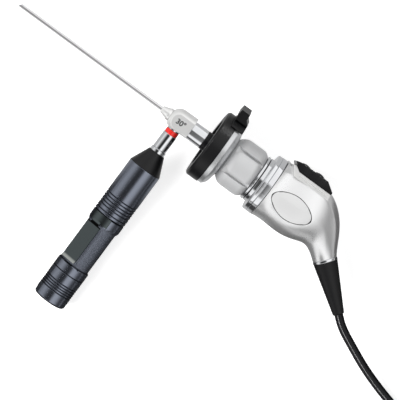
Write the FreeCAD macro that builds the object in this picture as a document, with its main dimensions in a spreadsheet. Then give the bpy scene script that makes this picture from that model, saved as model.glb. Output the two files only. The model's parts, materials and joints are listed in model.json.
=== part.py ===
import FreeCAD, Part
import math
import os

import Sketcher
from FreeCAD import Placement, Rotation, Vector

# A rigid 30 degree scope with a torch on its light post, held in a focusing coupler on a USB camera head.
# The assembly is drawn with the scope axis along X, tip at zero, the torch towards -Y and the buttons
# towards +Y. Every piece is then laid down as it rests on a table. Lengths are in mm, angles in degrees.

SIZES = {
    # Clearances that every fit uses
    "fit_fixed": 0.02,
    "fit_running": 0.08,
    "gap_face": 0.1,
    "gap_moving": 0.3,
    # Scope: insertion tube and optics
    "tube_dia": 2.7,
    "tube_seat_dia": 2.34,
    "tube_bore": 2.1,
    "tube_long": 110.0,
    "tube_seat": 4.0,
    "tip_slant": 30.0,
    "rod_dia": 1.7,
    # Scope: nose cone and block
    "nose_long": 6.6,
    "nose_front_dia": 4.4,
    "nose_back_dia": 7.4,
    "nose_lip_dia": 8.4,
    "nose_lip_long": 1.8,
    "nose_spigot_dia": 6.0,
    "nose_spigot_long": 3.0,
    "block_long": 16.0,
    "block_dia": 16.2,
    "block_round_long": 6.4,
    "block_round_high": 4.6,
    "block_half_width": 6.6,
    "block_foot": 5.9,
    "block_bore": 10.0,
    # Scope: ocular tube and eyepiece
    "ocular_long": 10.3,
    "ocular_dia": 12.3,
    "ocular_bore": 8.8,
    "ocular_spigot": 5.0,
    "cup_neck_dia": 12.6,
    "cup_neck_long": 3.0,
    "cup_rim_dia": 31.8,
    "cup_rim_thick": 3.4,
    "cup_wall": 1.5,
    "eyepiece_glass_thick": 1.2,
    # Light post, from the block's foot outwards
    "post_place": 7.2,
    "post_dia": 6.8,
    "post_flange_dia": 8.6,
    "post_flange_thick": 1.0,
    "post_long": 11.6,
    "fibre_dia": 3.0,
    "red_ring_dia": 8.8,
    "red_ring_thick": 3.1,
    "adaptor_dia": 9.4,
    "adaptor_long": 11.7,
    "adaptor_spigot_dia": 7.4,
    "adaptor_spigot_long": 4.2,
    "adaptor_bore": 5.0,
    # Torch, from the adaptor outwards
    "collar_dia": 10.4,
    "collar_long": 2.5,
    "cone_front_dia": 11.3,
    "cone_long": 12.6,
    "torch_dia": 22.4,
    "torch_bore": 18.6,
    "barrel_long": 38.2,
    "barrel_grooves": 5,
    "groove_pitch": 2.05,
    "groove_width": 0.8,
    "groove_depth": 0.4,
    "groove_first": 24.2,
    "led_lens_dia": 15.0,
    "led_board_thick": 1.6,
    "led_dome_dia": 4.0,
    "pill_long": 9.2,
    "battery_dia": 18.2,
    "battery_long": 65.0,
    "tube_outer_dia": 20.4,
    "tube_grip_long": 37.4,
    "tube_shoulder_long": 6.6,
    "tube_front_long": 5.8,
    "tube_ease_long": 2.2,
    "tube_thread_dia": 20.2,
    "tube_thread_long": 6.0,
    "cap_long": 21.6,
    "cap_ribs": 5,
    "cap_rib_first": 6.6,
    "cap_rib_pitch": 1.6,
    "notch_long": 3.4,
    "notch_wide": 5.0,
    "notch_deep": 4.0,
    "cap_end_wall": 5.6,
    "cap_hole_dia": 13.0,
    "switch_long": 8.0,
    "switch_plunger_dia": 5.0,
    "tail_travel": 1.5,
    "clip_turn": 28.0,
    "clip_band_long": 6.0,
    "clip_span": 40.0,
    "clip_thick": 0.8,
    "clip_width": 10.7,
    "clip_neck_width": 6.0,
    "clip_long": 33.0,
    "clip_lift": 1.0,
    "clip_step": 1.6,
    "clip_flare": 1.2,
    "clip_flare_long": 2.6,
    "vent_dia": 0.9,
    "vent_deep": 0.8,
    "vent_place": 3.6,
    "spring_wire": 0.9,
    "spring_dia": 8.0,
    # Clamp
    "clamp_dia": 47.6,
    "clamp_thick": 8.9,
    "clamp_wall": 4.4,
    "clamp_bevel": 1.2,
    "clamp_skirt": 1.0,
    "sleeve_dia": 37.6,
    "sleeve_bore": 32.8,
    "lip_dia": 40.0,
    "lip_thick": 1.1,
    "jaw_count": 3,
    "jaw_thick": 2.4,
    "jaw_width": 7.0,
    "jaw_tip": 15.0,
    "jaw_long": 6.1,
    "jaw_travel": 1.4,
    "jaw_pin_dia": 1.2,
    "jaw_pin_place": 20.3,
    "slot_depth": 1.8,
    "lever_swing": 30.0,
    "lever_place": 15.0,
    "lever_reach": 31.8,
    "lever_width": 6.6,
    "lever_span": 15.0,
    "saddle_width": 8.8,
    "saddle_thick": 0.9,
    "saddle_span": 33.0,
    "clamp_screw_dia": 1.4,
    "clamp_screw_head": 2.4,
    "clamp_screw_long": 7.0,
    "clamp_screw_circle": 35.6,
    # Coupler body and focus
    "flange_dia": 46.6,
    "flange_long": 6.75,
    "flange_straight": 2.7,
    "core_dia": 23.8,
    "core_bore": 20.4,
    "core_head_dia": 27.0,
    "core_head_thick": 2.9,
    "ring_long": 21.2,
    "ring_dia": 34.0,
    "ring_front_dia": 26.4,
    "ring_back_dia": 28.0,
    "ring_front_round": 6.4,
    "ring_back_round": 4.6,
    "lobe_count": 6,
    "lobe_gap": 2.6,
    "lobe_mouth": 8.6,
    "lobe_mouth_long": 5.4,
    "lobe_root": 14.7,
    "focus_swing": 90.0,
    "focus_pitch": 6.0,
    "focus_groove_root": 13.5,
    "carrier_long": 9.0,
    "carrier_wall": 1.9,
    "carrier_lip": 1.0,
    "focus_lens_thick": 4.0,
    "guide_pin_dia": 2.0,
    "guide_gap": 0.1,
    "mount_flange_dia": 31.5,
    "mount_flange_thick": 1.5,
    "mount_thread_dia": 25.4,
    "mount_thread_long": 3.3,
    "washer_thick": 0.6,
    "washer_dia": 29.8,
    # Camera head
    "front_ring_long": 2.5,
    "front_flange_dia": 40.3,
    "front_flange_long": 2.9,
    "front_flange_round": 0.9,
    "band_long": 3.7,
    "band_dia": 40.6,
    "nose_tube_dia": 35.7,
    "nose_tube_wall": 1.7,
    "nose_tube_long": 6.5,
    "sensor_tube_dia": 24.6,
    "sensor_tube_wall": 1.5,
    "filter_thick": 1.0,
    "sensor_depth": 17.5,
    "sensor_thick": 0.8,
    "sensor_long": 8.0,
    "sensor_wide": 6.0,
    "board_thick": 1.6,
    "main_board_long": 31.0,
    "main_board_wide": 25.0,
    "chip_side": 9.0,
    "chip_thick": 1.2,
    "housing_wall": 1.5,
    "plate_thick": 0.7,
    "plate_gap": 0.35,
    "plate_place": 17.6,
    "plate_drop": 2.7,
    "plate_long": 26.8,
    "plate_high": 16.0,
    # Keypad
    "keypad_front": 3.2,
    "keypad_foot_front": 7.3,
    "keypad_back": 33.5,
    "keypad_seat": 14.4,
    "keypad_peak": 20.5,
    "bezel_top": 18.6,
    "bezel_beak_place": 5.3,
    "bezel_beak_top": 21.4,
    "bezel_half_width": 16.9,
    "bezel_slope": 43.0,
    "bezel_groove_low": 1.5,
    "bezel_groove_high": 1.0,
    "bezel_groove_long": 20.4,
    "bezel_groove_deep": 0.8,
    "bezel_opening_long": 22.4,
    "bezel_opening_wide": 12.6,
    "pad_top": 24.7,
    "pad_nose_place": 3.5,
    "pad_nose_top": 23.2,
    "pad_back_top": 20.3,
    "pad_half_width": 12.7,
    "pad_slope": 25.0,
    "button_dia": 8.8,
    "button_front_place": 11.3,
    "button_rear_place": 21.7,
    "button_front_top": 25.7,
    "button_rear_top": 26.1,
    "button_flange_dia": 10.0,
    "button_flange_thick": 0.7,
    "button_travel": 0.8,
    "switch_side": 5.0,
    "switch_high": 2.3,
    "switch_board_long": 24.6,
    "switch_board_wide": 24.0,
    # Tail
    "tail_place": 55.5,
    "tail_drop": 15.8,
    "tail_lean": 39.5,
    "tail_ring_dia": 15.9,
    "tail_ring_long": 2.0,
    "tail_ring_bore": 10.0,
    "relief_long": 34.3,
    "relief_front_dia": 15.6,
    "relief_end_dia": 7.4,
    "lead_dia": 3.0,
    # Cable
    "cable_dia": 5.6,
    "coil_radius": 33.0,
    "coil_width": 17.0,
    "coil_high": 17.0,
    "coil_corner": 3.0,
    "coil_stub": 22.0,
    "coil_layer": 5.7,
    "tie_width": 8.0,
    "tie_thick": 0.8,
    "tie_turn": -20.0,
    "plug_wide": 15.8,
    "plug_high": 8.4,
    "plug_long": 27.0,
    "plug_neck_long": 9.0,
    "plug_neck_dia": 7.4,
    "plug_shell_wide": 12.0,
    "plug_shell_high": 4.5,
    "plug_shell_long": 18.6,
    "plug_shell_wall": 0.4,
    "plug_tongue_high": 1.8,
}

# Stations of the housing from its front to the tail: place behind the chrome band, centre in Y, lean of
# the section, half width, height of the top over the centre, and how square the shoulders are (0 is round)
STATION_NAMES = ("along", "across", "lean", "half", "top", "square")
STATIONS = [
    (0.3, 0.0, 0.0, 20.3, 20.35, 1.0),
    (16.3, 0.1, 0.0, 19.9, 20.3, 1.0),
    (32.3, 1.0, 6.0, 19.2, 18.2, 0.95),
    (42.9, -1.7, 16.0, 14.6, 13.1, 0.7),
    (49.5, -8.2, 28.0, 10.6, 9.9, 0.4),
    (52.9, -12.6, 36.0, 8.7, 8.4, 0.15),
    (SIZES["tail_place"], -SIZES["tail_drop"], SIZES["tail_lean"], 7.8, 7.8, 0.0),
]

doc = FreeCAD.newDocument("usb_endoscope")
sheet = doc.addObject("Spreadsheet::Sheet", "sizes")
pieces = {}


class Size:
    """A length or an angle: its value, and the sheet expression that gives it."""

    def __init__(self, value, text):
        self.value = value
        self.text = text

    def join(self, sign, other):
        other = as_size(other)
        value = {
            "+": lambda a, b: a + b,
            "-": lambda a, b: a - b,
            "*": lambda a, b: a * b,
            "/": lambda a, b: a / b,
        }[sign](self.value, other.value)
        return Size(value, f"({self.text} {sign} {other.text})")

    def __add__(self, other):
        return self.join("+", other)

    def __sub__(self, other):
        return self.join("-", other)

    def __mul__(self, other):
        return self.join("*", other)

    def __truediv__(self, other):
        return self.join("/", other)

    def __radd__(self, other):
        return as_size(other) + self

    def __rsub__(self, other):
        return as_size(other) - self

    def __rmul__(self, other):
        return as_size(other) * self

    def __rtruediv__(self, other):
        return as_size(other) / self

    def __neg__(self):
        return as_size(0) - self


def as_size(value):
    return value if isinstance(value, Size) else Size(float(value), f"({value})")


def sin(angle):
    return Size(math.sin(math.radians(angle.value)), f"sin({angle.text} * 1 deg)")


def cos(angle):
    return Size(math.cos(math.radians(angle.value)), f"cos({angle.text} * 1 deg)")


def tan(angle):
    return sin(angle) / cos(angle)


def root(value):
    return Size(math.sqrt(value.value), f"sqrt({value.text})")


def fill_sheet():
    """Writes every driving size into the sheet, and returns them by name."""
    rows = dict(SIZES)
    for number, station in enumerate(STATIONS):
        for name, value in zip(STATION_NAMES, station):
            rows[f"station{number}_{name}"] = value
    named = {}
    for row, (name, value) in enumerate(rows.items(), start=1):
        sheet.set(f"A{row}", name)
        sheet.set(f"B{row}", str(value))
        sheet.setAlias(f"B{row}", name)
        named[name] = Size(float(value), f"sizes.{name}")
    doc.recompute()
    return named


named = fill_sheet()


class Named:
    """Lets the sizes be read as size.tube_dia."""

    def __getattr__(self, name):
        return named[name]


size = Named()


def draw(sketch, corners):
    """Draws a closed outline. A corner is (x, y), or (x, y, radius) when an arc leads to it: a positive
    radius turns left on the way there, a negative one turns right."""
    corners = [tuple(as_size(c) for c in corner) for corner in corners]
    shapes, ends = [], []
    for index, corner in enumerate(corners):
        before = corners[index - 1]
        start = Vector(before[0].value, before[1].value, 0)
        end = Vector(corner[0].value, corner[1].value, 0)
        if len(corner) == 2:
            shapes.append(Part.LineSegment(start, end))
            ends.append((1, 2))
            continue
        radius = corner[2].value
        chord = end - start
        side = Vector(-chord.y, chord.x, 0).normalize()
        rise = math.sqrt(max(radius**2 - chord.Length**2 / 4, 0))
        centre = (start + end) / 2 + side * math.copysign(rise, radius)
        first, last = (start, end) if radius > 0 else (end, start)
        angles = [math.atan2(p.y - centre.y, p.x - centre.x) for p in (first, last)]
        circle = Part.Circle(centre, Vector(0, 0, 1), abs(radius))
        shapes.append(Part.ArcOfCircle(circle, *angles))
        ends.append((1, 2) if radius > 0 else (2, 1))
    base = sketch.GeometryCount
    sketch.addGeometry(shapes, False)
    rules, bound = [], []
    for index, corner in enumerate(corners):
        after = (index + 1) % len(corners)
        here = base + index
        rules.append(Sketcher.Constraint("Coincident", here, ends[index][1], base + after, ends[after][0]))
        for kind, value in (("DistanceX", corner[0]), ("DistanceY", corner[1])):
            bound.append((len(rules), value))
            rules.append(Sketcher.Constraint(kind, -1, 1, here, ends[index][1], value.value))
        if len(corner) == 3:
            radius = corner[2] if corner[2].value > 0 else -corner[2]
            bound.append((len(rules), radius))
            rules.append(Sketcher.Constraint("Radius", here, radius.value))
    first_rule = sketch.ConstraintCount
    sketch.addConstraint(rules)
    for index, value in bound:
        sketch.setExpression(f"Constraints[{first_rule + index}]", value.text)


def draw_circle(sketch, x, y, radius):
    """Draws a full circle with its centre and radius bound."""
    x, y, radius = (as_size(v) for v in (x, y, radius))
    here = sketch.GeometryCount
    sketch.addGeometry(Part.Circle(Vector(x.value, y.value, 0), Vector(0, 0, 1), radius.value), False)
    first_rule = sketch.ConstraintCount
    sketch.addConstraint(
        [
            Sketcher.Constraint("DistanceX", -1, 1, here, 3, x.value),
            Sketcher.Constraint("DistanceY", -1, 1, here, 3, y.value),
            Sketcher.Constraint("Radius", here, radius.value),
        ]
    )
    for index, value in enumerate((x, y, radius)):
        sketch.setExpression(f"Constraints[{first_rule + index}]", value.text)


def rectangle(x0, x1, y0, y1):
    return [(x0, y0), (x1, y0), (x1, y1), (x0, y1)]


def new_body(label, place):
    body = doc.addObject("PartDesign::Body", label)
    body.Label = label
    body.Placement = place
    pieces[label] = body
    return body


def new_sketch(body, role, lift=None):
    """A sketch on one of the body's origin planes, lifted along the plane's normal."""
    sketch = body.newObject("Sketcher::SketchObject", f"{body.Name}_sketch")
    plane = next(f for f in body.Origin.OriginFeatures if f.Role == role)
    sketch.AttachmentSupport = [(plane, "")]
    sketch.MapMode = "FlatFace"
    if lift is not None:
        lift = as_size(lift)
        sketch.AttachmentOffset = Placement(Vector(0, 0, lift.value), Rotation())
        sketch.setExpression(".AttachmentOffset.Base.z", lift.text)
    return sketch


def revolve(body, outline, kind="Revolution"):
    """Turns an outline of (along X, radius) corners about the body's X axis."""
    sketch = new_sketch(body, "XY_Plane")
    draw(sketch, outline)
    feature = body.newObject(f"PartDesign::{kind}", f"{body.Name}_turned")
    feature.Profile = (sketch, [""])
    feature.ReferenceAxis = (sketch, ["H_Axis"])
    feature.Angle = 360.0
    return feature


def turned(label, outline, place):
    body = new_body(label, place)
    revolve(body, outline)
    return body


def extrude(body, sketch, length=None, cut=False, reverse=False, both=False):
    """Pads or pockets a sketch. A cut with no length goes right through."""
    feature = body.newObject("PartDesign::Pocket" if cut else "PartDesign::Pad", f"{body.Name}_step")
    feature.Profile = (sketch, [""])
    feature.SideType = "Symmetric" if both else "One side"
    feature.Reversed = reverse
    if length is None:
        feature.Type = "ThroughAll"
    else:
        length = as_size(length)
        feature.Length = length.value
        feature.setExpression("Length", length.text)
    return feature


def repeat(body, features, count):
    """Repeats features evenly about the body's X axis."""
    pattern = body.newObject("PartDesign::PolarPattern", f"{body.Name}_pattern")
    pattern.Originals = features
    axis = next(f for f in body.Origin.OriginFeatures if f.Role == "X_Axis")
    pattern.Axis = (axis, [""])
    pattern.Angle = 360.0
    pattern.Occurrences = int(count.value)
    pattern.setExpression("Occurrences", count.text)
    body.Tip = pattern
    return pattern


def slab(label, role, outline, start, thickness, place):
    """A plate: an outline on one origin plane, from start along that plane's normal."""
    body = new_body(label, place)
    sketch = new_sketch(body, role, start)
    draw(sketch, outline)
    extrude(body, sketch, thickness)
    return body


def tube(x0, x1, inner, outer):
    """The outline of a plain tube between two radii."""
    return [(x0, inner), (x1, inner), (x1, outer), (x0, outer)]


def rod(x0, x1, radius):
    return tube(x0, x1, 0, radius)


# Places along the scope axis, each from the one before it
nose_front = size.tube_long
block_front = nose_front + size.nose_long
block_back = block_front + size.block_long
cup_front = block_back + size.ocular_long
clamp_front = cup_front + size.cup_neck_long - size.lip_thick / 2
hub_dia = size.clamp_dia - 2 * (size.clamp_skirt + size.gap_moving)
jaw_front = clamp_front + size.clamp_wall + size.gap_face
jaw_back = jaw_front + size.jaw_thick
rim_front = jaw_back + 2 * size.gap_face
rim_back = rim_front + size.cup_rim_thick
rim_seat = rim_back + size.gap_face
clamp_back = clamp_front + size.clamp_thick
flange_front = clamp_back + size.gap_face
flange_back = flange_front + size.flange_long
ring_front = flange_back + size.gap_face
ring_back = ring_front + size.ring_long
mount_front = ring_back + size.gap_face
mount_back = mount_front + size.mount_flange_thick
head_front = mount_back + size.washer_thick
front_flange_front = head_front + size.front_ring_long
band_front = front_flange_front + size.front_flange_long
housing_front = band_front + size.band_long
post_place = block_front + size.post_place
plate_place = housing_front + size.plate_place
keypad_front = housing_front + size.keypad_front
keypad_foot_front = housing_front + size.keypad_foot_front
keypad_back = housing_front + size.keypad_back
bezel_beak_place = housing_front + size.bezel_beak_place
pad_nose_place = housing_front + size.pad_nose_place
button_front_place = housing_front + size.button_front_place
button_rear_place = housing_front + size.button_rear_place
tail_place = housing_front + size.tail_place
sensor_face = head_front + size.sensor_depth
sensor_board_front = sensor_face + size.sensor_thick

# Distances of the light post and torch from the scope axis, each from the one before it
post_flange_end = size.block_foot + size.post_flange_thick
red_end = post_flange_end + size.red_ring_thick
adaptor_end = red_end + size.adaptor_long
collar_end = adaptor_end + size.collar_long
cone_end = collar_end + size.cone_long
barrel_end = cone_end + size.barrel_long
grip_end = barrel_end + size.tube_grip_long
shoulder_end = grip_end + size.tube_shoulder_long
cap_end = shoulder_end + size.cap_long


def rest_tilt():
    """The tilt at which the clamp's rim and the housing's belly touch the table together."""
    rim = size.clamp_dia.value / 2
    leans = []
    for number in range(len(STATIONS)):
        half = named[f"station{number}_half"].value
        along = (housing_front + named[f"station{number}_along"]).value
        leans.append(math.degrees(math.atan2(rim - half, along - clamp_back.value)))
    return min(leans)


def torch_swing(axis_height):
    """The swing that lays the torch's tail on the table, from the scope axis's height over it."""
    radius = size.torch_dia.value / 2
    reach = math.hypot(cap_end.value, radius)
    return math.degrees(math.asin(axis_height / reach) - math.atan2(radius, cap_end.value))


tilt = rest_tilt()
slope = math.radians(tilt)
rim_drop = clamp_back.value * math.sin(slope) + size.clamp_dia.value / 2 * math.cos(slope)
post_height = (rim_drop - post_place.value * math.sin(slope)) / math.cos(slope)
swing = torch_swing(post_height)
relief_reach = tail_place + (size.tail_ring_long + size.relief_long) * cos(size.tail_lean)
relief_reach += size.relief_end_dia / 2 * sin(size.tail_lean)
tip_reach = size.tube_dia / 2 * tan(size.tip_slant)
middle_along = (relief_reach - tip_reach).value * math.cos(slope) / 2
middle_across = (size.lever_reach.value - cap_end.value) / 2
LAID = Placement(Vector(-middle_along, -middle_across, rim_drop), Rotation(Vector(0, 1, 0), tilt))
SCOPE = LAID * Placement(Vector(), Rotation(Vector(1, 0, 0), swing))
TORCH = SCOPE * Placement(Vector(post_place.value, 0, 0), Rotation(Vector(0, 0, 1), -90))
TAIL = LAID * Placement(
    Vector(tail_place.value, -size.tail_drop.value, 0),
    Rotation(Vector(0, 0, 1), -size.tail_lean.value),
)
LEVER = LAID * Placement(Vector(), Rotation(Vector(1, 0, 0), size.lever_place.value))
HALF_LOBE = LAID * Placement(Vector(), Rotation(Vector(1, 0, 0), 180.0 / size.lobe_count.value))


def about_axis(turn):
    """The laid-down frame turned about the scope axis."""
    return LAID * Placement(Vector(), Rotation(Vector(1, 0, 0), turn))


def upright(along):
    """A frame whose X axis points to the keypad's side from the head's axis."""
    return LAID * Placement(Vector(along.value, 0, 0), Rotation(Vector(0, 0, 1), 90))


def slant_tip(body):
    """Cuts the tip face square to the direction of view."""
    reach = 2 * size.tube_dia
    back = reach * tan(size.tip_slant)
    sketch = new_sketch(body, "XY_Plane")
    draw(sketch, [(-reach, reach), (-reach, -reach), (-back, -reach), (back, reach)])
    extrude(body, sketch, cut=True, both=True, length=4 * size.tube_dia)


# Scope tube and its optics
def make_insertion_tube():
    bore = size.tube_bore / 2
    outer = size.tube_dia / 2
    seat = size.tube_seat_dia / 2
    outline = [
        (-size.tube_dia, bore),
        (nose_front + size.tube_seat, bore),
        (nose_front + size.tube_seat, seat),
        (nose_front, seat),
        (nose_front, outer),
        (-size.tube_dia, outer),
    ]
    slant_tip(turned("insertion_tube", outline, SCOPE))


def make_optics():
    front = -size.tube_dia
    back = block_front + size.tube_seat
    rod_radius = size.rod_dia / 2
    slant_tip(turned("rod_lens_train", rod(front, back + size.tube_seat, rod_radius), SCOPE))
    outline = tube(front, back, rod_radius + size.fit_fixed, size.tube_bore / 2 - size.fit_fixed)
    fibres = turned("light_fibres", outline, SCOPE)
    slant_tip(fibres)
    root_start = rod_radius + size.fit_fixed
    hook = tube(
        back - size.fibre_dia, post_place + size.fibre_dia / 2, root_start, size.tube_bore / 2 - size.fit_fixed
    )
    revolve(fibres, hook)
    post = new_sketch(fibres, "XZ_Plane", root_start + 0.1)
    draw_circle(post, post_place, 0, size.fibre_dia / 2 - size.fit_fixed)
    extrude(fibres, post, post_flange_end + size.post_long - root_start - 0.1)


# Nose cone and block
def make_nose_cone():
    bore = size.tube_seat_dia / 2 + size.fit_fixed
    lip = block_front - size.nose_lip_long
    tube_end = nose_front + size.tube_seat
    spigot_end = block_front + size.nose_spigot_long
    outline = [
        (nose_front, bore),
        (tube_end, bore),
        (tube_end, size.tube_bore / 2),
        (spigot_end, size.tube_bore / 2),
        (spigot_end, size.nose_spigot_dia / 2),
        (block_front, size.nose_spigot_dia / 2),
        (block_front, size.nose_lip_dia / 2),
        (lip, size.nose_lip_dia / 2),
        (lip, size.nose_back_dia / 2),
        (nose_front, size.nose_front_dia / 2),
    ]
    turned("nose_cone", outline, SCOPE)


def make_scope_block():
    bore = size.tube_dia / 2 + size.fit_fixed
    seat = block_front + size.tube_seat + size.gap_face
    radius = size.block_dia / 2
    spigot = size.nose_spigot_dia / 2 + size.fit_fixed
    spigot_end = block_front + size.nose_spigot_long + size.gap_face
    long = size.block_round_long
    high = size.block_round_high
    bend = (long * long + high * high) / (2 * high)
    outline = [
        (block_front, spigot),
        (spigot_end, spigot),
        (spigot_end, bore),
        (seat, bore),
        (seat, size.block_bore / 2),
        (block_back, size.block_bore / 2),
        (block_back, radius),
        (block_front + long, radius),
        (block_front, radius - high, bend),
    ]
    body = turned("scope_block", outline, SCOPE)
    for side in (1, -1):
        face = new_sketch(body, "XY_Plane", side * size.block_half_width)
        draw(face, rectangle(block_front - 1, block_back + 1, -radius - 1, radius + 1))
        extrude(body, face, radius, cut=True, reverse=side > 0)
    foot = new_sketch(body, "XZ_Plane", size.block_foot)
    draw(foot, rectangle(block_front - 1, block_back + 1, -radius - 1, radius + 1))
    extrude(body, foot, radius, cut=True, reverse=True)
    hole = new_sketch(body, "XZ_Plane", size.block_bore / 2 - 1.5)
    draw_circle(hole, post_place, 0, size.post_dia / 2 + size.fit_fixed)
    extrude(body, hole, radius, cut=True, reverse=True)


# Ocular tube and eyepiece
def make_ocular_tube():
    spigot = block_back - size.ocular_spigot
    outer = size.ocular_dia / 2
    outline = [
        (spigot, size.ocular_bore / 2),
        (cup_front - size.fit_fixed, size.ocular_bore / 2),
        (cup_front - size.fit_fixed, outer),
        (block_back + size.fit_fixed, outer),
        (block_back + size.fit_fixed, size.block_bore / 2 - size.fit_fixed),
        (spigot, size.block_bore / 2 - size.fit_fixed),
    ]
    turned("ocular_tube", outline, SCOPE)


def make_eyepiece():
    neck = size.cup_neck_dia / 2
    rim = size.cup_rim_dia / 2
    cone_start = cup_front + size.cup_neck_long
    cone_top = size.jaw_tip - 3 * size.gap_face
    glass = size.ocular_bore / 2
    inner_start = cone_start + size.cup_wall
    outline = [
        (cup_front, glass),
        (inner_start, glass),
        (inner_start, neck - size.cup_wall / 2),
        (rim_front + size.cup_wall, cone_top - size.cup_wall / 2),
        (rim_back, rim - size.cup_wall),
        (rim_back, rim),
        (rim_front, rim),
        (rim_front, cone_top),
        (cone_start, neck),
        (cup_front, neck),
    ]
    turned("eyepiece_cup", outline, SCOPE)
    start = cup_front + size.cup_wall
    outline = rod(start, start + size.eyepiece_glass_thick, glass - size.fit_fixed)
    turned("eyepiece_glass", outline, SCOPE)


# Light post with its red ring and adaptor
def make_light_post():
    root_place = size.block_bore / 2 - 1.5 + size.gap_face
    radius = size.post_dia / 2
    end = post_flange_end + size.post_long
    outline = [
        (root_place, size.fibre_dia / 2),
        (end, size.fibre_dia / 2),
        (end, radius),
        (post_flange_end, radius),
        (post_flange_end, size.post_flange_dia / 2),
        (size.block_foot, size.post_flange_dia / 2),
        (size.block_foot, radius),
        (root_place, radius),
    ]
    turned("light_post", outline, TORCH)


def make_post_fittings():
    bore = size.post_dia / 2 + size.fit_fixed
    turned("angle_ring", tube(post_flange_end, red_end, bore, size.red_ring_dia / 2), TORCH)
    post_end = post_flange_end + size.post_long + size.gap_face
    light_bore = size.adaptor_bore / 2
    spigot_end = adaptor_end + size.adaptor_spigot_long
    outline = [
        (red_end, bore),
        (post_end, bore),
        (post_end, light_bore),
        (spigot_end, light_bore),
        (spigot_end, size.adaptor_spigot_dia / 2),
        (adaptor_end, size.adaptor_spigot_dia / 2),
        (adaptor_end, size.adaptor_dia / 2),
        (red_end, size.adaptor_dia / 2),
    ]
    turned("post_adaptor", outline, TORCH)


# Torch
def make_torch_head():
    bore = size.adaptor_spigot_dia / 2 + size.fit_fixed
    turned("torch_collar", tube(adaptor_end, collar_end, bore, size.collar_dia / 2), TORCH)
    lens_seat = cone_end - size.led_board_thick - size.led_dome_dia - 2.0
    lens_radius = size.led_lens_dia / 2
    neck_end = adaptor_end + size.adaptor_spigot_long + size.gap_face
    outline = [
        (collar_end, bore),
        (neck_end, bore),
        (lens_seat, lens_radius - 1),
        (lens_seat, lens_radius + size.fit_fixed),
        (cone_end, lens_radius + size.fit_fixed),
        (cone_end, size.torch_dia / 2),
        (collar_end, size.cone_front_dia / 2),
    ]
    turned("torch_cone", outline, TORCH)
    flat = lens_seat + 2.2
    outline = [
        (lens_seat + size.fit_fixed, 0),
        (flat, 0),
        (flat, lens_radius),
        (lens_seat + size.fit_fixed + 0.8, lens_radius),
        (lens_seat + size.fit_fixed, lens_radius - 1.2),
    ]
    turned("condenser_lens", outline, TORCH)


def make_torch_inside():
    board_front = cone_end
    board_back = board_front + size.led_board_thick
    pill_end = board_back + size.pill_long
    bore = size.torch_bore / 2
    dome = size.led_dome_dia / 2
    outline = [
        (board_front - dome, 0, dome),
        (pill_end, 0),
        (pill_end, bore - size.fit_fixed),
        (board_back, bore - size.fit_fixed),
        (board_back, bore - 5 * size.fit_fixed),
        (board_front, bore - 5 * size.fit_fixed),
        (board_front, dome),
    ]
    turned("led_module", outline, TORCH)
    battery_front = pill_end + 1.0
    radius = size.battery_dia / 2
    outline = [
        (pill_end, 0),
        (battery_front + size.battery_long, 0),
        (battery_front + size.battery_long, radius),
        (battery_front, radius),
        (battery_front, radius / 3),
        (pill_end, radius / 3),
    ]
    turned("battery_cell", outline, TORCH)
    return battery_front + size.battery_long


def make_torch_barrel():
    bore = size.torch_bore / 2
    radius = size.torch_dia / 2
    thread = size.tube_thread_dia / 2 + size.fit_fixed
    thread_start = barrel_end - size.tube_thread_long - size.gap_face
    neck = radius - 2 * size.groove_depth
    outline = [(cone_end, bore), (thread_start, bore), (thread_start, thread), (barrel_end, thread)]
    outline += [(barrel_end, neck), (barrel_end - size.groove_width, radius)]
    places = [size.groove_first + size.groove_pitch * i for i in range(int(size.barrel_grooves.value))]
    places.append(size.barrel_long - size.groove_pitch - size.groove_width)
    for place in reversed(places):
        outline += groove(cone_end + place, radius)
    outline.append((cone_end, radius))
    turned("torch_barrel", outline, TORCH)


def groove(start, radius):
    """The corners of a square groove, from its far edge back to its near one."""
    end = start + size.groove_width
    root_radius = radius - size.groove_depth
    return [(end, radius), (end, root_radius), (start, root_radius), (start, radius)]


def make_battery_tube():
    bore = size.torch_bore / 2
    thread = size.tube_thread_dia / 2
    outer = size.tube_outer_dia / 2
    radius = size.torch_dia / 2
    ease = radius - outer
    rear_thread = shoulder_end + size.tube_thread_long
    front = barrel_end + size.fit_fixed
    front_end = front + size.tube_front_long
    outline = [
        (barrel_end - size.tube_thread_long, bore),
        (rear_thread, bore),
        (rear_thread, thread),
        (shoulder_end, thread),
        (shoulder_end, radius),
        (grip_end + ease, radius),
        (grip_end, outer),
        (front_end + size.tube_ease_long, outer),
        (front_end, radius),
        (front + size.groove_depth, radius),
        (front, radius - size.groove_depth),
        (front, thread),
        (barrel_end - size.tube_thread_long, thread),
    ]
    body = turned("battery_tube", outline, TORCH)
    recess = new_sketch(body, "YZ_Plane", front)
    span = size.clip_span + 1
    draw(recess, arc_band(outer, radius + 1, span, size.clip_turn + 90))
    extrude(body, recess, size.tube_front_long + size.tube_ease_long, cut=True, reverse=True)
    hole = new_sketch(body, "XY_Plane", outer - size.vent_deep)
    draw_circle(hole, grip_end + size.vent_dia, size.vent_place, size.vent_dia / 2)
    extrude(body, hole, 4, cut=True, reverse=True)


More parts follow.
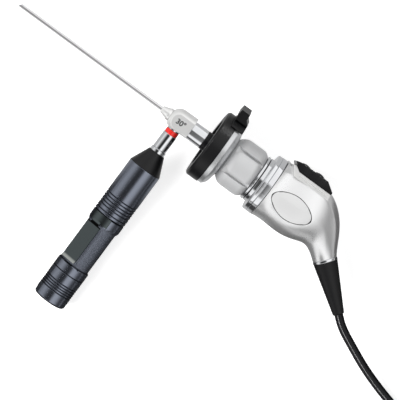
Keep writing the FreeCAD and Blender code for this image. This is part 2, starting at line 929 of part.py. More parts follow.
def make_pocket_clip():
    """A foot let into the tube, with a flat spring arm that stands off it and flares at its end."""
    frame = TORCH * Placement(Vector(), Rotation(Vector(1, 0, 0), size.clip_turn.value))
    inner = size.tube_outer_dia / 2 + size.fit_fixed
    outer = inner + size.clip_thick
    band_start = barrel_end + size.gap_face
    band_end = band_start + size.clip_band_long
    body = new_body("pocket_clip", frame)
    foot = new_sketch(body, "YZ_Plane", band_start)
    draw(foot, arc_band(inner, outer, size.clip_span, as_size(90)))
    extrude(body, foot, size.clip_band_long)
    arm_low = outer + size.clip_lift - size.clip_thick
    arm_top = arm_low + size.clip_thick
    step = band_end + size.clip_step
    arm_end = band_start + size.clip_long
    flare = size.clip_flare
    tip = arm_end + size.clip_flare_long
    half_neck = size.clip_neck_width / 2
    neck = new_sketch(body, "XZ_Plane", -half_neck)
    draw(
        neck,
        [
            (band_end - 1.0, outer - size.clip_thick / 2),
            (band_end, outer - size.clip_thick / 2),
            (step, arm_low),
            (step + 1.5, arm_low),
            (step + 1.5, arm_top),
            (step - 0.6, arm_top),
            (band_end - 1.0, outer),
        ],
    )
    extrude(body, neck, size.clip_neck_width)
    arm = new_sketch(body, "XZ_Plane", -size.clip_width / 2)
    draw(
        arm,
        [
            (step, arm_low),
            (arm_end, arm_low),
            (tip, arm_low + flare),
            (tip, arm_top + flare),
            (arm_end, arm_top),
            (step, arm_top),
        ],
    )
    extrude(body, arm, size.clip_width)


def make_tail(battery_back):
    bore = size.torch_bore / 2
    radius = size.torch_dia / 2
    thread = size.tube_thread_dia / 2 + size.fit_fixed
    thread_end = shoulder_end + size.tube_thread_long + size.gap_face
    wall_start = cap_end - size.cap_end_wall
    hole = size.cap_hole_dia / 2
    outline = [
        (shoulder_end, thread),
        (thread_end, thread),
        (thread_end, bore),
        (wall_start, bore),
        (wall_start, hole),
        (cap_end, hole),
        (cap_end, radius - 1.0),
        (cap_end - 1.0, radius),
    ]
    for number in reversed(range(int(size.cap_ribs.value))):
        outline += groove(shoulder_end + size.cap_rib_first + size.cap_rib_pitch * number, radius)
    outline += [(shoulder_end + size.groove_depth, radius), (shoulder_end, radius - size.groove_depth)]
    body = turned("tail_cap", outline, TORCH)
    notch = new_sketch(body, "XY_Plane", -size.notch_wide / 2)
    draw(notch, rectangle(cap_end - size.notch_long, cap_end + 1, -radius - 1, size.notch_deep - radius))
    extrude(body, notch, size.notch_wide, cut=True, reverse=True)
    spring_end = battery_back + size.spring_dia * 0.8
    switch_end = spring_end + size.switch_long
    plunger = size.switch_plunger_dia / 2
    flange_back = wall_start - size.gap_face
    flange_front = flange_back - 1.5
    plunger_end = flange_front - size.tail_travel - size.gap_moving
    outline = [
        (spring_end, 0),
        (plunger_end, 0),
        (plunger_end, plunger),
        (switch_end, plunger),
        (switch_end, bore - size.fit_fixed),
        (spring_end, bore - size.fit_fixed),
    ]
    turned("tail_switch", outline, TORCH)
    dome = hole - size.gap_moving
    dome_rise = 1.4
    dome_bend = (dome * dome + dome_rise * dome_rise) / (2 * dome_rise)
    outline = [
        (flange_front, 0),
        (cap_end - 1.0, 0),
        (cap_end - 1.0 - dome_rise, dome, dome_bend),
        (flange_back, dome),
        (flange_back, bore - size.gap_moving),
        (flange_front, bore - size.gap_moving),
    ]
    turned("tail_button", outline, TORCH)
    make_contact_spring(battery_back, spring_end)


def make_contact_spring(start, end):
    """The contact spring between the battery and the switch."""
    wire = size.spring_wire.value / 2
    high = end.value - start.value - 2 * wire
    coil = size.spring_dia.value / 2
    spine = Part.Wire(Part.makeHelix(high / 3, high, coil).Edges)
    ring = Part.Wire(Part.makeCircle(wire, Vector(coil, 0, 0), Vector(0, 1, 0)))
    spring = spine.makePipeShell([ring], True, True)
    feature = doc.addObject("Part::Feature", "contact_spring")
    feature.Label = "contact_spring"
    feature.Shape = spring
    stand = Placement(Vector(start.value + wire, 0, 0), Rotation(Vector(0, 1, 0), 90))
    feature.Placement = TORCH * stand
    pieces["contact_spring"] = feature


# Clamp
def make_clamp_ring():
    """A black cup that turns on the sleeve, with three spiral cam slots behind its front wall."""
    bore = size.sleeve_dia / 2 + size.fit_running
    outer = size.clamp_dia / 2
    lip = size.lip_dia / 2 + size.gap_moving / 2
    lip_back = clamp_front + size.lip_thick + size.gap_face
    skirt = hub_dia / 2 + size.gap_moving
    wall_back = clamp_front + size.clamp_wall
    outline = [
        (clamp_front, lip),
        (lip_back, lip),
        (lip_back, bore),
        (wall_back, bore),
        (wall_back, skirt),
        (clamp_back, skirt),
        (clamp_back, outer),
        (clamp_front + size.clamp_bevel, outer),
        (clamp_front, outer - size.clamp_bevel),
    ]
    body = turned("clamp_ring", outline, LAID)
    slot = new_sketch(body, "YZ_Plane", wall_back)
    draw(slot, cam_slot())
    cut = extrude(body, slot, size.slot_depth, cut=True)
    repeat(body, [cut], size.jaw_count)


def cam_slot():
    """The outline of one cam slot. Its middle line is a spiral that gains the jaws' travel over the
    lever's swing. A circle set off sideways by the spiral's pitch follows that spiral."""
    pitch = size.jaw_travel / (size.lever_swing * math.pi / 180)
    middle = size.jaw_pin_place + size.jaw_travel / 2
    bend = root(middle * middle + pitch * pitch)
    half = size.jaw_pin_dia / 2 + size.fit_running
    spread = (size.lever_swing / 2 + 1.5) * math.pi / 180
    closed_place = middle - pitch * spread
    open_place = middle + pitch * spread
    # The jaw's own direction is +Y at the closed end, and the slot runs back from there
    closed_turn = as_size(1.5)
    open_turn = -(size.lever_swing + 1.5)
    cap = half * 1.03

    def edge(place, angle):
        return (place * cos(angle), place * sin(angle))

    return [
        (*edge(closed_place + half, closed_turn), -cap),
        (*edge(open_place + half, open_turn), -(bend + half)),
        (*edge(open_place - half, open_turn), -cap),
        (*edge(closed_place - half, closed_turn), bend - half),
    ]


def make_clamp_lever():
    """A saddle over the clamp's rim with the thumb fin standing on it."""
    body = new_body("clamp_lever", LEVER)
    inner = size.clamp_dia / 2 + size.fit_fixed
    outer = inner + size.saddle_thick
    front = fin_front() + size.gap_face * 5
    back = front + size.saddle_width
    span = size.saddle_span
    sketch = new_sketch(body, "YZ_Plane", front)
    draw(sketch, arc_band(inner, outer, span, as_size(0)))
    extrude(body, sketch, size.saddle_width)
    fin_back = fin_front() + size.lever_width
    half = size.lever_span / 2
    foot = 1.1
    fin = new_sketch(body, "XY_Plane", -half)
    draw(
        fin,
        [
            (front, outer - size.saddle_thick / 3),
            (back, outer - size.saddle_thick / 3),
            (back, outer),
            (fin_back, outer + 3 * foot),
            (fin_back - 0.2, size.lever_reach),
            (fin_front() + 0.4, size.lever_reach),
            (fin_front(), outer + 3 * foot),
            (front, outer),
        ],
    )
    extrude(body, fin, size.lever_span)


def fin_front():
    return clamp_back - size.lever_width / 2 - 0.9


def arc_band(inner, outer, span, middle):
    """A band between two radii, the same angle to each side of its middle."""
    high = middle + span
    low = middle - span
    return [
        (inner * cos(high), inner * sin(high)),
        (inner * cos(low), inner * sin(low), -inner),
        (outer * cos(low), outer * sin(low)),
        (outer * cos(high), outer * sin(high), outer),
    ]


def make_jaws():
    for number in range(int(size.jaw_count.value)):
        body = new_body(f"jaw_{number + 1}", about_axis(360.0 / size.jaw_count.value * number))
        half = size.jaw_width / 2
        tip = size.jaw_tip
        corner = root(tip * tip - half * half)
        end = tip + size.jaw_long
        plate = new_sketch(body, "YZ_Plane", jaw_front)
        draw(plate, [(corner, -half, -tip), (end, -half), (end, half), (corner, half)])
        extrude(body, plate, size.jaw_thick)
        pin = new_sketch(body, "YZ_Plane", jaw_front)
        draw_circle(pin, size.jaw_pin_place, 0, size.jaw_pin_dia / 2)
        extrude(body, pin, size.slot_depth - size.gap_face, reverse=True)


def make_clamp_sleeve():
    """The retaining ring that the clamp ring turns on, and its three screws."""
    bore = size.sleeve_bore / 2
    outline = [
        (clamp_front, bore),
        (jaw_front, bore),
        (jaw_front, size.sleeve_dia / 2),
        (clamp_front + size.lip_thick, size.sleeve_dia / 2),
        (clamp_front + size.lip_thick, size.lip_dia / 2),
        (clamp_front, size.lip_dia / 2),
    ]
    body = turned("clamp_sleeve", outline, LAID)
    place = size.clamp_screw_circle / 2
    head = new_sketch(body, "YZ_Plane", clamp_front)
    draw_circle(head, -place, 0, size.clamp_screw_head / 2 + size.fit_fixed)
    cut = extrude(body, head, size.lip_thick, cut=True, reverse=True)
    shank = new_sketch(body, "YZ_Plane", clamp_front)
    draw_circle(shank, -place, 0, size.clamp_screw_dia / 2 + size.fit_fixed)
    hole = extrude(body, shank, size.clamp_wall + 1, cut=True, reverse=True)
    repeat(body, [cut, hole], size.jaw_count)
    make_screws(
        "clamp_screws",
        (clamp_front, size.clamp_screw_long, size.lip_thick),
        (size.clamp_screw_head, size.clamp_screw_dia, place),
        size.jaw_count,
        180.0,
    )


def make_screws(label, lengths, widths, count, turn):
    """A ring of cap screws about the scope axis, as one group of separate solids."""
    start, length, head_long = lengths
    head_dia, shank_dia, circle = widths
    feature = doc.addObject("Part::Feature", label)
    feature.Label = label
    screws = []
    for number in range(int(count.value)):
        head = Part.makeCylinder(head_dia.value / 2, head_long.value, Vector(start.value, 0, 0), Vector(1, 0, 0))
        shank = Part.makeCylinder(shank_dia.value / 2, length.value, Vector(start.value, 0, 0), Vector(1, 0, 0))
        socket = Part.makeCylinder(
            shank_dia.value / 3, head_long.value / 2, Vector(start.value, 0, 0), Vector(1, 0, 0)
        )
        screw = head.fuse(shank).cut(socket)
        screw.translate(Vector(0, circle.value, 0))
        screw.rotate(Vector(), Vector(1, 0, 0), turn + 360.0 / count.value * number)
        screws.append(screw)
    feature.Shape = Part.makeCompound(screws)
    feature.Placement = LAID
    pieces[label] = feature


# Coupler
def make_coupler_flange():
    """The domed flange: its hub goes into the clamp ring and carries the jaws and the eyepiece's rim."""
    rim_bore = size.cup_rim_dia / 2 + size.fit_running
    hub = hub_dia / 2
    outer = size.flange_dia / 2
    core = size.core_dia / 2 + size.fit_fixed
    core_head = size.core_head_dia / 2 + size.fit_fixed
    dome_start = flange_front + size.flange_straight
    dome_mid = flange_back - 1.0
    outline = [
        (jaw_front, rim_bore),
        (rim_seat, rim_bore),
        (rim_seat, core_head),
        (rim_seat + size.core_head_thick, core_head),
        (rim_seat + size.core_head_thick, core),
        (flange_back, core),
        (flange_back, size.ring_front_dia / 2),
        (dome_mid, outer * 0.76),
        (dome_start, outer, 7.6),
        (flange_front, outer),
        (flange_front, hub),
        (jaw_front, hub),
    ]
    body = turned("coupler_flange", outline, LAID)
    half = size.jaw_width / 2 + size.fit_running
    channel = new_sketch(body, "YZ_Plane", jaw_front)
    draw(channel, rectangle(0, hub + 1, -half, half))
    cut = extrude(body, channel, size.jaw_thick + size.gap_face, cut=True, reverse=True)
    screw = new_sketch(body, "YZ_Plane", jaw_front)
    draw_circle(screw, -size.clamp_screw_circle / 2, 0, size.clamp_screw_dia / 2 + size.fit_fixed)
    hole = extrude(body, screw, size.clamp_screw_long - size.clamp_wall, cut=True, reverse=True)
    repeat(body, [cut, hole], size.jaw_count)


def make_core():
    """The fixed barrel inside the focus ring, with two straight slots for the guide pins."""
    bore = size.core_bore / 2
    outer = size.core_dia / 2
    head = size.core_head_dia / 2
    front = rim_seat + size.gap_face
    head_back = rim_seat + size.core_head_thick
    stop = front + size.core_head_thick / 2
    lip = bore - 1.2
    outline = [
        (front, lip),
        (stop, lip),
        (stop, bore),
        (mount_back - size.fit_fixed, bore),
        (mount_back - size.fit_fixed, outer),
        (head_back, outer),
        (head_back, head),
        (front, head),
    ]
    body = turned("coupler_core", outline, LAID)
    travel = focus_travel()
    half = size.guide_pin_dia / 2 + size.guide_gap
    middle = carrier_middle()
    slot = new_sketch(body, "XY_Plane")
    draw(slot, rectangle(middle - travel - half, middle + travel + half, -half, half))
    extrude(body, slot, size.core_dia + 2, cut=True, both=True)


def focus_travel():
    return size.focus_pitch * size.focus_swing / 360


def carrier_middle():
    return ring_front + size.ring_long / 2


def make_focus_ring():
    """The lobed ring, with a helical groove in its bore for each guide pin."""
    bore = size.core_dia / 2 + size.fit_running
    outer = size.ring_dia / 2
    front = size.ring_front_dia / 2
    back = size.ring_back_dia / 2
    front_long = ring_front + size.ring_front_round
    back_long = ring_back - size.ring_back_round
    outline = [
        (ring_front, bore),
        (ring_back, bore),
        (ring_back, back),
        (back_long, outer, size.ring_back_round * 1.25),
        (front_long, outer),
        (ring_front, front, size.ring_front_round * 1.25),
    ]
    body = turned("focus_ring", outline, HALF_LOBE)
    cuts = []
    gap = size.lobe_gap / 2
    mouth = size.lobe_mouth / 2
    gap_start = ring_front + size.lobe_mouth_long
    finger = new_sketch(body, "XY_Plane", size.lobe_root)
    draw(
        finger,
        [
            (ring_front - 1, -mouth),
            (ring_front + 0.6, -mouth),
            (gap_start, -gap, -size.lobe_mouth_long * 1.2),
            (ring_back + 1, -gap),
            (ring_back + 1, gap),
            (gap_start, gap),
            (ring_front + 0.6, mouth, -size.lobe_mouth_long * 1.2),
            (ring_front - 1, mouth),
        ],
    )
    cuts.append(extrude(body, finger, outer, cut=True, reverse=True))
    repeat(body, cuts, size.lobe_count)
    for start in (0.0, 180.0):
        cut_helix(body, bore, start)


def cut_helix(body, bore, start):
    """One helical groove in the bore, long enough for the swing to both sides."""
    reach = focus_travel() + size.focus_pitch / 24
    half = size.guide_pin_dia / 2 + size.guide_gap
    first = carrier_middle() - reach
    sketch = body.newObject("Sketcher::SketchObject", f"{body.Name}_groove")
    plane = next(f for f in body.Origin.OriginFeatures if f.Role == "XY_Plane")
    sketch.AttachmentSupport = [(plane, "")]
    sketch.MapMode = "FlatFace"
    back_turn = 90 - 180.0 / size.lobe_count.value - (size.focus_swing.value + 15.0)
    sketch.AttachmentOffset = Placement(Vector(), Rotation(Vector(1, 0, 0), start + back_turn))
    draw(sketch, rectangle(first - half, first + half, bore - 0.5, size.focus_groove_root))
    helix = body.newObject("PartDesign::SubtractiveHelix", f"{body.Name}_helix")
    helix.Profile = (sketch, [""])
    helix.ReferenceAxis = (sketch, ["H_Axis"])
    helix.Mode = "pitch-height-angle"
    helix.Pitch = size.focus_pitch.value
    helix.setExpression("Pitch", size.focus_pitch.text)
    helix.Height = 2 * reach.value
    helix.setExpression("Height", (2 * reach).text)
    helix.Angle = 0
    helix.LeftHanded = False


def make_focus_carrier():
    outer = size.core_bore / 2 - size.fit_running
    inner = outer - size.carrier_wall
    front = carrier_middle() - size.carrier_long / 2
    back = front + size.carrier_long
    outline = [
        (front, inner),
        (back - size.carrier_lip, inner),
        (back - size.carrier_lip, inner - size.carrier_lip),
        (back, inner - size.carrier_lip),
        (back, outer),
        (front, outer),
    ]
    body = turned("focus_carrier", outline, LAID)
    pin = size.guide_pin_dia / 2
    hole = new_sketch(body, "XY_Plane")
    draw_circle(hole, carrier_middle(), 0, pin + size.fit_fixed)
    extrude(body, hole, size.core_dia, cut=True, both=True)
    lens = inner - size.fit_fixed
    lens_back = back - size.carrier_lip - size.fit_fixed
    lens_front = lens_back - 1.6
    bulge = size.focus_lens_thick - 2.2
    turned("focus_lens", lens_outline(lens_front, lens_back, lens, bulge), LAID)
    make_guide_pins(inner, pin)


def lens_outline(front, back, radius, bulge):
    """A lens with one domed face."""
    dome = (radius * radius + bulge * bulge) / (2 * bulge)
    return [(front - bulge, 0, dome), (back, 0), (back, radius), (front, radius)]


def make_guide_pins(inner, pin):
    feature = doc.addObject("Part::Feature", "guide_pins")
    feature.Label = "guide_pins"
    pins = []
    low = inner.value + 0.1
    high = size.focus_groove_root.value - size.gap_face.value
    for side in (1, -1):
        start = Vector(carrier_middle().value, 0, side * low)
        pins.append(Part.makeCylinder(pin.value, high - low, start, Vector(0, 0, side)))
    feature.Shape = Part.makeCompound(pins)
    feature.Placement = LAID
    pieces["guide_pins"] = feature


def make_lens_mount():
    """The mount ring on the core's end, with the standard camera thread and its washer."""
    core = size.core_dia / 2 + size.fit_fixed
    bore = size.core_bore / 2
    thread = size.mount_thread_dia / 2
    thread_back = mount_back + size.mount_thread_long
    outline = [
        (mount_front, core),
        (mount_back, core),
        (mount_back, bore),
        (thread_back, bore),
        (thread_back, thread),
        (mount_back, thread),
        (mount_back, size.mount_flange_dia / 2),
        (mount_front, size.mount_flange_dia / 2),
    ]
    turned("lens_mount", outline, LAID)
    turned("mount_washer", tube(mount_back, head_front, thread + size.fit_fixed, size.washer_dia / 2), LAID)


# Camera head front
def make_head_front():
    """The stepped chrome front of the head: it screws on to the lens mount, holds the filter glass and
    the sensor, and goes into the housing. A separate chrome band covers the joint."""
    bore = size.mount_thread_dia / 2 + size.fit_fixed
    ring = size.mount_flange_dia / 2
    outer = size.front_flange_dia / 2
    nose = size.nose_tube_dia / 2
    nose_in = nose - size.nose_tube_wall
    nose_end = band_front + size.nose_tube_long
    sensor_out = size.sensor_tube_dia / 2
    sensor_in = sensor_out - size.sensor_tube_wall
    shelf = band_front - size.filter_thick - 0.6
    window = bore - 3.0
    web = band_front + size.nose_tube_wall
    edge = size.front_flange_round
    outline = [
        (head_front, bore),
        (shelf, bore),
        (shelf, window),
        (band_front, window),
        (band_front, sensor_in),
        (sensor_board_front, sensor_in),
        (sensor_board_front, sensor_out),
        (web, sensor_out),
        (web, nose_in),
        (nose_end, nose_in),
        (nose_end, nose),
        (band_front, nose),
        (band_front, outer),
        (front_flange_front + edge, outer),
        (front_flange_front, outer - edge, edge),
        (front_flange_front, ring),
        (head_front, ring),
    ]
    turned("head_front", outline, LAID)
    turned("filter_glass", rod(shelf - size.filter_thick, shelf, bore - size.fit_fixed), LAID)
    turned("chrome_band", tube(band_front, housing_front, nose + size.fit_fixed, size.band_dia / 2), LAID)


def make_boards():
    board_back = sensor_board_front + size.board_thick
    board_radius = size.sensor_tube_dia / 2 - 0.5
    sensor = turned("sensor_board", rod(sensor_board_front, board_back, board_radius), LAID)
    half_long = size.sensor_long / 2
    half_wide = size.sensor_wide / 2
    die = new_sketch(sensor, "YZ_Plane", sensor_face)
    draw(die, rectangle(-half_wide, half_wide, -half_long, half_long))
    extrude(sensor, die, size.sensor_thick + size.board_thick / 2)
    half = size.main_board_wide / 2
    back = board_back + size.main_board_long
    body = slab("main_board", "XZ_Plane", rectangle(board_back, back, -half, half), 1.6, size.board_thick, LAID)
    chip = new_sketch(body, "XZ_Plane", -size.chip_thick + 1.6)
    for place in (0.25, 0.68):
        middle = board_back + size.main_board_long * place
        side = size.chip_side / 2
        draw(chip, rectangle(middle - side, middle + side, -side, side))
    extrude(body, chip, size.chip_thick + 0.2)


# Housing
def station_frame(sketch, number):
    """Sets a sketch on the housing's curved spine."""
    along, across, lean = (named[f"station{number}_{key}"] for key in ("along", "across", "lean"))
    along = housing_front + along
    sketch.AttachmentOffset = Placement(
        Vector(across.value, 0, along.value), Rotation(Vector(0, 1, 0), -lean.value)
    )
    sketch.setExpression(".AttachmentOffset.Base.x", across.text)
    sketch.setExpression(".AttachmentOffset.Base.z", along.text)
    sketch.setExpression(".AttachmentOffset.Rotation.Angle", (-lean).text)


def station_outline(number, inset):
    """A housing section: round below, with flatter sides, sloping shoulders and a flat top above."""
    half, top, square = (named[f"station{number}_{key}"] for key in ("half", "top", "square"))
    scale = (half - inset) / half
    side_y = top * 0.7071 * scale
    side_z = half * (0.7071 + 0.115 * square) * scale
    top_y = top * (0.9659 + 0.034 * square) * scale
    top_z = half * (0.2588 + 0.28 * square) * scale
    wide = half * scale
    radius = half * scale
    side_bend = 1 / ((1 - square) / radius + square / 46.0)
    slope_bend = 1 / ((1 - square) / radius + square / 60.0)
    top_bend = 1 / ((1 - square) / radius + square / 90.0)
    return [
        (-wide, 0, -radius),
        (0, wide, -radius),
        (side_y, side_z, -side_bend),
        (top_y, top_z, -slope_bend),
        (top_y, -top_z, -top_bend),
        (side_y, -side_z, -slope_bend),
        (0, -wide, -side_bend),
    ]


def loft(body, kind, inset):
    """Lofts the housing's sections, moved inwards by the inset."""
    sections = []
    for number in range(len(STATIONS)):
        sketch = new_sketch(body, "YZ_Plane")
        station_frame(sketch, number)
        draw(sketch, station_outline(number, as_size(inset)))
        sections.append(sketch)
    feature = body.newObject(f"PartDesign::{kind}", f"{body.Name}_loft")
    feature.Profile = (sections[0], [""])
    feature.Sections = [(s, [""]) for s in sections[1:]]
    feature.Ruled = False
    return feature


def draw_oval(sketch, grow):
    """The side plate's oval, from four arcs."""
    along = size.plate_long / 2 + grow
    high = size.plate_high / 2 + grow
    x = plate_place
    y = -size.plate_drop
    knee_x = along * 0.86
    knee_y = high * 0.51
    end_bend = knee_y * 1.09
    flat_rise = high - knee_y
    flat_bend = (knee_x * knee_x + flat_rise * flat_rise) / (2 * flat_rise)
    draw(
        sketch,
        [
            (x + knee_x, y - knee_y, flat_bend),
            (x + knee_x, y + knee_y, end_bend),
            (x - knee_x, y + knee_y, flat_bend),
            (x - knee_x, y - knee_y, end_bend),
        ],
    )


def make_housing():
    """The cast shell: bent and tapering, hollow, open at its top for the keypad."""
    body = new_body("head_housing", LAID)
    loft(body, "AdditiveLoft", 0)
    oval = new_sketch(body, "XY_Plane", size.station0_half / 3)
    draw_oval(oval, size.plate_gap)
    extrude(body, oval, 2 * size.station0_half, cut=True, reverse=True)
    loft(body, "AdditiveLoft", size.plate_thick)
    loft(body, "SubtractiveLoft", size.housing_wall)
    seat = new_sketch(body, "XY_Plane")
    draw(seat, keypad_seat())
    extrude(body, seat, 3 * size.station0_half, cut=True, both=True)


def keypad_seat():
    top = 2 * size.station0_half
    gap = size.fit_fixed
    lean = (keypad_foot_front - keypad_front) / (size.keypad_peak - size.keypad_seat)
    return [
        (keypad_foot_front - gap, size.keypad_seat),
        (keypad_back + gap, size.keypad_seat),
        (keypad_back + gap, top),
        (keypad_foot_front - gap - lean * (top - size.keypad_seat), top),
    ]


def make_side_plate():
    body = new_body("side_plate", LAID)
    loft(body, "AdditiveLoft", 0)
    loft(body, "SubtractiveLoft", size.plate_thick)
    frame = new_sketch(body, "XY_Plane")
    far = 2 * tail_place
    draw(frame, rectangle(-1, far, -far, far))
    draw_oval(frame, 0)
    extrude(body, frame, 2 * size.station0_half, cut=True, reverse=True)
    below = new_sketch(body, "XY_Plane")
    draw(below, rectangle(-1, far, -far, far))
    extrude(body, below, 2 * size.station0_half, cut=True)


# Keypad
def slope_sides(body, low_y, half, lean, top_y):
    """Trims both long sides of a keypad piece to a slope."""
    rise = top_y - low_y
    back = rise * tan(lean)
    far = half + 4
    for side in (1, -1):
        sketch = new_sketch(body, "YZ_Plane", keypad_front - 2)
        draw(
            sketch,
            [
                (low_y, side * half),
                (top_y, side * (half - back)),
                (top_y, side * far),
                (low_y, side * far),
            ],
        )
        extrude(body, sketch, keypad_back, cut=True, reverse=True)


def groove_side(body, half):
    """A long shallow groove in each sloping side of the bezel."""
    low = size.keypad_seat + size.bezel_groove_low
    high = low + size.bezel_groove_high
    floor = half - (size.bezel_groove_low + size.bezel_groove_high / 2) * tan(size.bezel_slope)
    floor = floor - size.bezel_groove_deep
    middle = (keypad_foot_front + keypad_back) / 2
    reach = size.bezel_groove_long / 2
    for side in (1, -1):
        sketch = new_sketch(body, "XY_Plane", side * floor)
        draw(sketch, rectangle(middle - reach, middle + reach, low, high))
        extrude(body, sketch, half, cut=True, reverse=side > 0)


def make_keypad():
    half = size.bezel_half_width
    sketch_place = -half
    outline = [
        (keypad_foot_front, size.keypad_seat),
        (keypad_back, size.keypad_seat),
        (keypad_back, size.bezel_top),
        (keypad_foot_front + 1.4, size.bezel_top),
        (bezel_beak_place, size.bezel_beak_top),
        (keypad_front, size.keypad_peak),
    ]
    bezel = slab("keypad_bezel", "XY_Plane", outline, sketch_place, 2 * half, LAID)
    slope_sides(bezel, size.keypad_seat, half, size.bezel_slope, size.bezel_beak_top + 1)
    groove_side(bezel, half)
    middle = (button_front_place + button_rear_place) / 2
    reach = size.bezel_opening_long / 2
    wide = size.bezel_opening_wide / 2
    opening = new_sketch(bezel, "XZ_Plane", -size.keypad_seat + 1)
    draw(opening, rectangle(middle - reach, middle + reach, -wide, wide))
    extrude(bezel, opening, size.pad_top, cut=True)
    pad_half = size.pad_half_width
    bottom = size.bezel_top + size.fit_fixed
    outline = [
        (keypad_foot_front + 1.5, bottom),
        (keypad_back, bottom),
        (keypad_back, size.pad_back_top),
        (keypad_back - 6.2, size.pad_top),
        (pad_nose_place + 4.4, size.pad_top),
        (pad_nose_place + 0.6, size.pad_nose_top + 0.6),
        (pad_nose_place, size.pad_nose_top),
        (bezel_beak_place, size.bezel_beak_top + 0.1),
    ]
    pad = slab("keypad_pad", "XY_Plane", outline, -pad_half, 2 * pad_half, LAID)
    slope_sides(pad, bottom, pad_half, size.pad_slope, size.pad_top + 1)
    holes = new_sketch(pad, "XZ_Plane", -bottom + 1)
    for place in (button_front_place, button_rear_place):
        draw_circle(holes, place, 0, size.button_dia / 2 + size.gap_moving)
    extrude(pad, holes, size.pad_top, cut=True)


def make_buttons():
    flange_top = size.bezel_top - size.gap_moving + size.fit_fixed
    flange_low = flange_top - size.button_flange_thick
    radius = size.button_dia / 2
    for label, place, top in (
        ("button_front", button_front_place, size.button_front_top),
        ("button_rear", button_rear_place, size.button_rear_top),
    ):
        shoulder = top - 1.5
        dome = (radius * radius + 1.5 * 1.5) / (2 * 1.5)
        outline = [
            (flange_low, 0),
            (top, 0),
            (shoulder, radius, dome),
            (flange_top, radius),
            (flange_top, size.button_flange_dia / 2),
            (flange_low, size.button_flange_dia / 2),
        ]
        turned(label, outline, upright(place))


def make_switch_board():
    middle = (button_front_place + button_rear_place) / 2
    long = size.switch_board_long / 2
    wide = size.switch_board_wide / 2
    outline = rectangle(middle - long, middle + long, -wide, wide)
    body = slab("switch_board", "XZ_Plane", outline, -size.keypad_seat, size.board_thick, LAID)
    switches = new_sketch(body, "XZ_Plane", -size.keypad_seat - size.switch_high)
    side = size.switch_side / 2
    for place in (button_front_place, button_rear_place):
        draw(switches, rectangle(place - side, place + side, -side, side))
    extrude(body, switches, size.switch_high + size.board_thick / 2)


# Tail
def make_tail_end():
    bore = size.tail_ring_bore / 2
    outer = size.tail_ring_dia / 2
    edge = 0.5
    outline = [
        (0, bore),
        (size.tail_ring_long, bore),
        (size.tail_ring_long, outer - edge),
        (size.tail_ring_long - edge, outer, edge),
        (edge, outer),
        (0, outer - edge, edge),
    ]
    turned("tail_ring", outline, TAIL)
    front = size.relief_front_dia / 2
    end = size.relief_end_dia / 2
    start = size.tail_ring_long
    stop = start + size.relief_long
    spigot = bore - size.fit_fixed
    outline = [
        (0, 0),
        (stop, 0),
        (stop, end - 0.6),
        (stop - 0.6, end),
        (start, front),
        (start, spigot),
        (0, spigot),
    ]
    turned("strain_relief", outline, TAIL)
    return stop


def place_of(frame, x, y, z):
    return frame.multVec(Vector(x, y, z))


def rounded_path(points):
    """Straight runs joined by tangent arcs, each as large as its two runs allow."""
    edges = []
    at = points[0]
    for before, corner, after in zip(points, points[1:], points[2:]):
        first = (before - corner).normalize()
        second = (after - corner).normalize()
        turn = math.pi - first.getAngle(second)
        shorter = min((before - corner).Length, (after - corner).Length)
        radius = 0.45 * shorter / math.tan(turn / 2)
        print("cable turn", round(math.degrees(turn), 1), "radius", round(radius, 1))
        start = corner + first * (0.45 * shorter)
        end = corner + second * (0.45 * shorter)
        inward = (first + second).normalize()
        centre_far = math.hypot(0.45 * shorter, radius)
        middle = corner + inward * (centre_far - radius)
        edges.append(Part.LineSegment(at, start).toShape())
        edges.append(Part.Arc(start, middle, end).toShape())
        at = end
    edges.append(Part.LineSegment(at, points[-1]).toShape())
    return Part.Wire(edges)


def add_tube(label, points):
    """A plain round cable along a rounded path."""
    radius = size.cable_dia.value / 2
    spine = rounded_path(points)
    start = points[0]
    circle = Part.Wire(Part.makeCircle(radius, start, points[1] - start))
    solid = spine.makePipeShell([circle], True, False)
    expected = math.pi * radius**2 * spine.Length
    print(label, "length", round(spine.Length, 1), "volume share", round(solid.Volume / expected, 4))
    feature = doc.addObject("Part::Feature", label)
    feature.Label = label
    feature.Shape = solid
    pieces[label] = feature


# Turning points of the cable, from the strain relief's end: along, across, and height over the table
CABLE_POINTS = [(19.36, -11.51, 13.8), (33.36, -17.71, 9.8), (48.86, -22.81, 5.8), (64.36, -26.71)]


def make_cable(relief_end):
    """The cable from the strain relief to its coil, the coil, its tie, and the plug beside it."""
    radius = size.cable_dia.value / 2
    coil_bottom = size.tie_thick.value + 0.1
    low = coil_bottom + radius
    exit_place = place_of(TAIL, relief_end.value, 0, 0)
    exit_place.z = 0
    last = exit_place + Vector(*CABLE_POINTS[-1], low)
    entry_turn = math.radians(78.5)
    way = Vector(math.sin(entry_turn), -math.cos(entry_turn), 0)
    entry_face = last + way * 12
    add_tube(
        "cable",
        [
            place_of(TAIL, relief_end.value, 0, 0),
            place_of(TAIL, relief_end.value + 9.0, 0, 0),
            *[exit_place + Vector(*point) for point in CABLE_POINTS[:-1]],
            last,
            entry_face,
        ],
    )
    outer_turn = size.coil_radius.value + size.coil_width.value / 2 - radius
    entry = entry_face + way * size.coil_stub.value
    centre = entry - Vector(math.cos(entry_turn), math.sin(entry_turn), 0) * outer_turn
    centre.z = 0
    leave = centre + Vector(0, -outer_turn, low + size.coil_layer.value)
    leave_face = leave - Vector(size.coil_stub.value, 0, 0)
    plug_height = size.plug_high.value / 2
    run = Vector(14.0, 0, 0)
    tail_end = leave_face + Vector(-50.0, 3.0, plug_height - leave.z)
    tail = [leave_face, leave_face - run, tail_end + run, tail_end]
    add_tube("cable_tail", tail)
    make_coil(centre, coil_bottom, (entry, entry_face), (leave, leave_face))
    make_tie(centre)
    make_plug(Placement(tail_end, Rotation(Vector(0, 0, 1), 180)))


